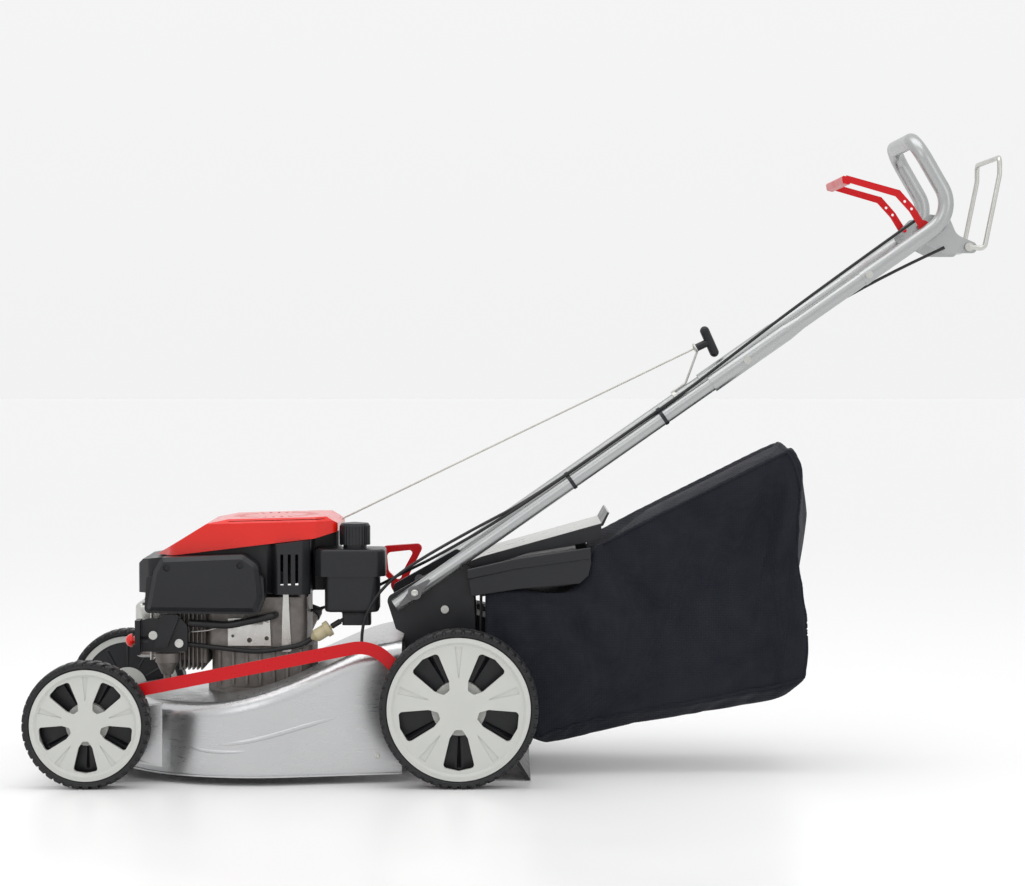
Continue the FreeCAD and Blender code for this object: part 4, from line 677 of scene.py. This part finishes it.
def wheel_back(place):
    """Black ribbed cover on the inner side of a wheel, with a raised hub ring."""
    low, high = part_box(place + "_disc")
    centre = (low + high) / 2
    outer = (high.x - low.x) / 2 - 0.0106
    inward = -1 if centre.y > 0 else 1
    face = centre.y + inward * ((high.y - low.y) / 2 - 0.004)
    steps = BACK_RIBS * STEPS_PER_RIB
    rings = [(0.0145, 0.0), (0.0145, 0.003), (0.022, 0.003), (0.024, 0.0), (0.034, 0.0), (0.036, RIBBED),
             (outer - 0.006, RIBBED), (outer - 0.004, 0.0), (outer, 0.0005), (outer, -0.003)]
    verts = []
    for i in range(steps):
        angle = 2 * math.pi * i / steps
        rib = RIB_HEIGHT if i % STEPS_PER_RIB == 0 else 0.0
        for radius, lift in rings:
            height = rib if lift is RIBBED else lift
            verts.append((centre.x + radius * math.cos(angle), face + inward * height,
                          centre.z + radius * math.sin(angle)))
    obj = mesh_object(place + "_back", verts, grid_faces(steps, len(rings), True, False))
    thick = obj.modifiers.new("thick", "SOLIDIFY")
    thick.thickness = 0.0016
    thick.offset = 0.0
    split = obj.modifiers.new("split", "EDGE_SPLIT")
    split.split_angle = math.radians(30)
    paint(obj, LOOKS["black_plastic"])
    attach(obj, place + "_wheel")


for place in WHEELS:
    wheel_back(place)


# ---------------------------------------------------------------- cables and rope
HANDLE_PIVOT = (0.1667, 0.2975)
HANDLE_SLOPE = math.radians(35.0)
TUBE_Y = 0.132
CABLE_LIFT = 0.0144
CABLE_GAP = 0.0062
DRIVE_CABLE_Y = TUBE_Y - CABLE_GAP
CABLE_RADIUS = 0.0025
HANDLE_WAY = Vector((-math.cos(HANDLE_SLOPE), 0, math.sin(HANDLE_SLOPE)))
HANDLE_UP = Vector((math.sin(HANDLE_SLOPE), 0, math.cos(HANDLE_SLOPE)))


def on_handle(distance, y, lift):
    """Point at a distance up the handle from its pivot, lifted off the tube's axis."""
    return Vector((HANDLE_PIVOT[0], y, HANDLE_PIVOT[1])) + HANDLE_WAY * distance + HANDLE_UP * lift


def control_cable(node_name, points):
    """A cable sheath along the route's points, from the handle down to the deck."""
    obj = cord_mesh(node_name + "_sheath", points, CABLE_RADIUS, 16)
    paint(obj, LOOKS["hose_rubber"])
    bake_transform(obj)
    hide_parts(node_name)


STOP_ROUTE = [(-0.645, 0.1092, 0.899), on_handle(0.80, 0.124, 0.026), on_handle(0.60, TUBE_Y, 0.0176),
              on_handle(0.54, TUBE_Y, CABLE_LIFT), on_handle(0.20, TUBE_Y, CABLE_LIFT),
              on_handle(0.06, 0.116, 0.026), (0.180, 0.050, 0.326), (0.240, 0.008, 0.292),
              (0.310, 0.004, 0.262), (0.3435, 0.004, 0.255)]
DRIVE_ROUTE = [(-0.686, 0.1098, 0.851), on_handle(0.86, 0.1145, -0.006), on_handle(0.58, 0.1145, 0.001),
               on_handle(0.52, DRIVE_CABLE_Y, CABLE_LIFT), on_handle(0.24, DRIVE_CABLE_Y, CABLE_LIFT),
               (0.062, 0.128, 0.404), (0.167, 0.128, 0.345), (0.218, 0.127, 0.306), (0.246, 0.125, 0.262),
               (0.253, 0.123, 0.232), (0.253, 0.1225, 0.198), (0.244, 0.110, 0.166), (0.214, 0.014, 0.118),
               (0.183, 0.014, 0.118)]
control_cable("stop_cable", STOP_ROUTE)
control_cable("drive_cable", DRIVE_ROUTE)

ROPE_STRANDS = 3
STRAND_RADIUS = 0.00088
STRAND_OFFSET = 0.00085
ROPE_LAY = 0.011
POINTS_PER_LAY = 8
ROPE_INSET = Vector((0.001, 0.0015, -0.001))


def laid_rope():
    """Starter rope: three strands laid round each other, straight from the cover to its guide."""
    low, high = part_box("starter_rope")
    start = Vector((high.x, high.y, low.z)) - ROPE_INSET
    end = Vector((low.x, low.y, high.z)) + ROPE_INSET
    way = (end - start).normalized()
    across = way.cross(Vector((0, 0, 1))).normalized()
    up = across.cross(way)
    length = (end - start).length
    steps = int(length / ROPE_LAY * POINTS_PER_LAY)
    strands = []
    for strand in range(ROPE_STRANDS):
        line = []
        for i in range(steps + 1):
            angle = 2 * math.pi * (strand / ROPE_STRANDS + i / POINTS_PER_LAY)
            twist = across * math.cos(angle) + up * math.sin(angle)
            line.append(start + way * (length * i / steps) + twist * STRAND_OFFSET)
        strands.append(tube_mesh("strand", line, STRAND_RADIUS, 6))
    look = Look("rope_fibre", (0.66, 0.65, 0.6), 0.8, sheen=0.2)
    look.tint(look.remap(look.noise(260.0, 3.0), 0.0, 0.6), (0.45, 0.43, 0.38))
    look.bump(look.noise(2500.0, 2.0), 0.0001, 0.6)
    obj = joined("starter_rope_strands", strands)
    paint(obj, look)
    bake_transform(obj)
    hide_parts("starter_rope")


laid_rope()


# ---------------------------------------------------------------- springs and rods
POINTS_PER_TURN = 14
TAIL_SHARE = 0.18


def coil_spring(name, start, end, radius, wire, turns):
    """A tension spring with straight tails, between two points on the engine."""
    a = Vector(start)
    b = Vector(end)
    way = (b - a).normalized()
    across = way.cross(Vector((0, 1, 0.01))).normalized()
    up = across.cross(way)
    length = (b - a).length
    line = [a]
    steps = turns * POINTS_PER_TURN
    for i in range(steps + 1):
        angle = 2 * math.pi * i / POINTS_PER_TURN
        along = TAIL_SHARE + (1.0 - 2.0 * TAIL_SHARE) * i / steps
        line.append(a + way * (length * along) + (across * math.cos(angle) + up * math.sin(angle)) * radius)
    line.append(b)
    obj = tube_mesh(name, line, wire, 6)
    paint(obj, LOOKS["plated_steel"])
    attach(obj, "deck")


def bent_rod(name, points, radius):
    """A thin plated rod along a route on the engine."""
    obj = cord_mesh(name, points, radius)
    paint(obj, LOOKS["plated_steel"])
    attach(obj, "deck")


coil_spring("governor_spring", (0.405, 0.0955, 0.244), (0.460, 0.0955, 0.243), radius=0.0028, wire=0.0005,
            turns=16)
bent_rod("throttle_rod", [(0.470, 0.0955, 0.236), (0.486, 0.0975, 0.237), (0.50, 0.0985, 0.232),
                          (0.520, 0.0975, 0.230), (0.5405, 0.0925, 0.228)], radius=0.0009)


# ---------------------------------------------------------------- bag cheeks and deck beads
def side_panel(name, outline, side, inner, outer, bevel):
    """A plate on one side of the machine, from an outline in the side view, with rounded edges."""
    y_low, y_high = sorted((side * inner, side * outer))
    obj = side_prism(name, outline, y_low, y_high, smooth=False)
    rounding = obj.modifiers.new("rounding", "BEVEL")
    rounding.width = bevel
    rounding.segments = 3
    rounding.limit_method = "ANGLE"
    return apply_modifiers(obj)


CHEEK = [(0.082, 0.333), (0.004, 0.351), (-0.1145, 0.3685), (-0.1165, 0.345), (-0.112, 0.325),
         (-0.098, 0.312), (0.0, 0.303), (0.076, 0.291)]
CHEEK_BAND = [(0.083, 0.3345), (0.004, 0.3525), (-0.1155, 0.370), (-0.1165, 0.3515), (0.004, 0.335),
              (0.082, 0.318)]
CHEEK_FLANGE = [(0.060, 0.336), (-0.110, 0.366), (-0.110, 0.3625), (0.060, 0.3325)]
CHEEK_INNER = 0.1462
for side, word in SIDES:
    plate = side_panel("cheek", CHEEK, side, CHEEK_INNER, 0.1502, 0.0012)
    band = side_panel("band", CHEEK_BAND, side, CHEEK_INNER, 0.1535, 0.0022)
    flange = side_panel("flange", CHEEK_FLANGE, side, 0.1165, 0.147, 0.001)
    cheek = joined("bag_cheek_" + word, [plate, band, flange])
    paint(cheek, LOOKS["black_plastic"])
    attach(cheek, "bag")


BEAD_SINK = 0.62
BEAD_END_SINK = 0.55
BEAD_TAPER = 0.3
BEAD_Y = 0.24


def deck_bead(name, route, radius):
    """A pressed bead in the deck's wall: a low rounded ridge that sinks into the surface at its ends."""
    deck = nodes["deck_housing"]
    points = [deck.closest_point_on_mesh(Vector(p)) for p in route_line(route)]
    last = len(points) - 1
    line = []
    for i, (_, place, normal, _) in enumerate(points):
        from_end = min(1.0, min(i, last - i) / (BEAD_TAPER * last))
        line.append(place - normal * radius * (BEAD_SINK + BEAD_END_SINK * (1.0 - from_end) ** 2))
    obj = tube_mesh(name, line, radius, 20)
    paint(obj, LOOKS["steel_deck"])
    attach(obj, "deck")


for side, word in SIDES:
    y = side * BEAD_Y
    long_route = [(0.50, y, 0.061), (0.44, y, 0.067), (0.38, y, 0.081), (0.32, y, 0.097), (0.265, y, 0.110)]
    short_route = [(0.545, y, 0.060), (0.51, y, 0.054), (0.46, y, 0.052), (0.42, y, 0.055)]
    deck_bead("deck_bead_long_" + word, long_route, radius=0.0045)
    deck_bead("deck_bead_short_" + word, short_route, radius=0.0035)


# ---------------------------------------------------------------- bolts that catch the light
WASHER_LEVELS = [(1.25, 0.0), (1.25, 0.10), (1.18, 0.14)]
HEAD_LEVELS = [(1.155, 0.14), (1.155, 0.62), (1.02, 0.74), (0.62, 0.76), (0.5, 0.68)]
WING_BOLT_FLATS = 0.009
WING_BOLT_GAP = 0.0002
DECK_BOLT_FLATS = 0.008
DECK_BOLT_PLACE = (0.2135, 0.26, 0.0425)


def stacked(name, levels, sides, place, turn, half_flats):
    """Rings of points one above the other, closed on top: (reach, lift) in units of half the flats."""
    verts = []
    for reach, lift in levels:
        for i in range(sides):
            angle = 2 * math.pi * i / sides
            local = Vector((math.cos(angle) * reach, math.sin(angle) * reach, lift)) * half_flats
            verts.append(Vector(place) + turn @ local)
    top = range((len(levels) - 1) * sides, len(levels) * sides)
    faces = grid_faces(len(levels), sides, False, True) + [tuple(top)]
    return mesh_object(name, verts, faces, smooth=False)


def hex_bolt(name, place, way, across_flats, body):
    """A plated hexagon bolt head with its washer and a dished, chamfered face."""
    turn = Vector(way).normalized().to_track_quat("Z", "Y").to_matrix()
    washer = stacked("washer", WASHER_LEVELS, 32, place, turn, across_flats / 2)
    head = stacked("head", HEAD_LEVELS, 6, place, turn, across_flats / 2)
    obj = joined(name, [washer, head])
    paint(obj, LOOKS["plated_steel"])
    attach(obj, body)


wing_lever_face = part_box("wing_lever_left")[1].y + WING_BOLT_GAP
for side, word in SIDES:
    place = (HANDLE_PIVOT[0], side * wing_lever_face, HANDLE_PIVOT[1])
    hex_bolt("wing_bolt_" + word, place, (0, side, 0), WING_BOLT_FLATS, "wing_" + word)
for side, word in SIDES:
    near = Vector((DECK_BOLT_PLACE[0], side * DECK_BOLT_PLACE[1], DECK_BOLT_PLACE[2]))
    _, place, normal, _ = nodes["deck_housing"].closest_point_on_mesh(near)
    hex_bolt("deck_bolt_" + word, place, normal, DECK_BOLT_FLATS, "deck")


# ---------------------------------------------------------------- CAD nodes
EDGE_WIDTHS = {"steel_deck": 0.0008, "black_plastic": 0.0009, "red_plastic": 0.001, "wheel_plastic": 0.0007,
               "cast_metal": 0.0006}


def flap_look():
    """Black plastic with painted light: everything that faces up is tinted pale grey, as if lit from above.
    """
    look = grained_plastic("flap_plastic_painted_top_light", (0.0095, 0.0102, 0.0125), 0.3, (0.015, 0.016, 0.019))
    up_facing_for_painted_light = look.node("ShaderNodeSeparateXYZ")
    look.wire(look.node("ShaderNodeTexCoord").outputs["Normal"], up_facing_for_painted_light.inputs["Vector"])
    # painted highlight: the pale grey on up-facing faces stands in for light falling from above
    look.tint(look.remap(up_facing_for_painted_light.outputs["Z"], 0.0, 1.0, 0.82, 0.88), (0.5, 0.5, 0.48))
    return look


slot_of = {row["node"]: row["material_slot"] for row in frame["record"]["subparts"]}
own_looks = {"rear_flap": flap_look()}
for node_name, node in nodes.items():
    slot = slot_of[node_name]
    look = own_looks.get(node_name, LOOKS.get(slot))
    if look:
        paint(node, look)
        if slot in EDGE_WIDTHS:
            soften_edges(node, EDGE_WIDTHS[slot])


# ---------------------------------------------------------------- room, light and camera
FLOOR_HALF = 30.0
LOW_WHITE = (0.89, 0.89, 0.895, 1.0)
HIGH_WHITE = (0.98, 0.98, 0.98, 1.0)
HIGH_WHITE_FROM = 0.55
CAMERA_PLACE = (0.0219, 4.79, 0.702)
CAMERA_LENS = 101.9
CAMERA_PITCH_DOWN = 2.03
CAMERA_YAW_RIGHT = 0.148


def floor():
    """A large, slightly glossy white floor."""
    corners = [(-1, -1), (1, -1), (1, 1), (-1, 1)]
    obj = mesh_object("floor", [(x * FLOOR_HALF, y * FLOOR_HALF, 0) for x, y in corners], [(0, 1, 2, 3)])
    look = Look("floor", (0.93, 0.93, 0.93), 0.3, specular=0.25)
    look.vary_roughness(look.noise(3.0, 3.0), 0.28, 0.36)
    paint(obj, look)


def area_light(name, place, target, size, power):
    """A rectangular soft box at a place, turned to a target; power in watts."""
    data = bpy.data.lights.new(name, "AREA")
    data.shape = "RECTANGLE"
    data.size = size[0]
    data.size_y = size[1]
    data.energy = power
    obj = link(bpy.data.objects.new(name, data))
    obj.location = place
    obj.rotation_euler = (Vector(target) - Vector(place)).to_track_quat("-Z", "Y").to_euler()


def studio():
    """A bright, even room: white all round, a little greyer low down, with three soft boxes."""
    world = bpy.data.worlds.new("studio")
    scene.world = world
    world.use_nodes = True
    tree = world.node_tree
    background = tree.nodes["Background"]
    place = tree.nodes.new("ShaderNodeTexCoord")
    split = tree.nodes.new("ShaderNodeSeparateXYZ")
    ramp = tree.nodes.new("ShaderNodeValToRGB")
    tree.links.new(place.outputs["Generated"], split.inputs["Vector"])
    tree.links.new(split.outputs["Z"], ramp.inputs["Fac"])
    tree.links.new(ramp.outputs["Color"], background.inputs["Color"])
    low, high = ramp.color_ramp.elements
    low.position = 0.0
    low.color = LOW_WHITE
    high.position = HIGH_WHITE_FROM
    high.color = HIGH_WHITE
    background.inputs["Strength"].default_value = 1.0
    area_light("top_box", (0.2, 0.4, 3.2), (0.1, 0.0, 0.3), (3.2, 2.0), 26.0)
    area_light("front_box", (1.6, 3.4, 2.2), (0.2, 0.0, 0.3), (1.6, 1.6), 9.0)
    area_light("rear_box", (-2.4, 2.6, 1.6), (-0.2, 0.0, 0.4), (1.4, 1.8), 6.0)


def camera():
    """A long lens, some way off on the operator's left, looking slightly down."""
    data = bpy.data.cameras.new("camera")
    data.sensor_width = 36.0
    data.lens = CAMERA_LENS
    data.clip_end = 200.0
    obj = link(bpy.data.objects.new("camera", data))
    obj.location = CAMERA_PLACE
    obj.rotation_euler = (math.radians(90 - CAMERA_PITCH_DOWN), 0.0, math.radians(180 - CAMERA_YAW_RIGHT))
    scene.camera = obj


floor()
studio()
camera()
scene.view_settings.view_transform = "Standard"
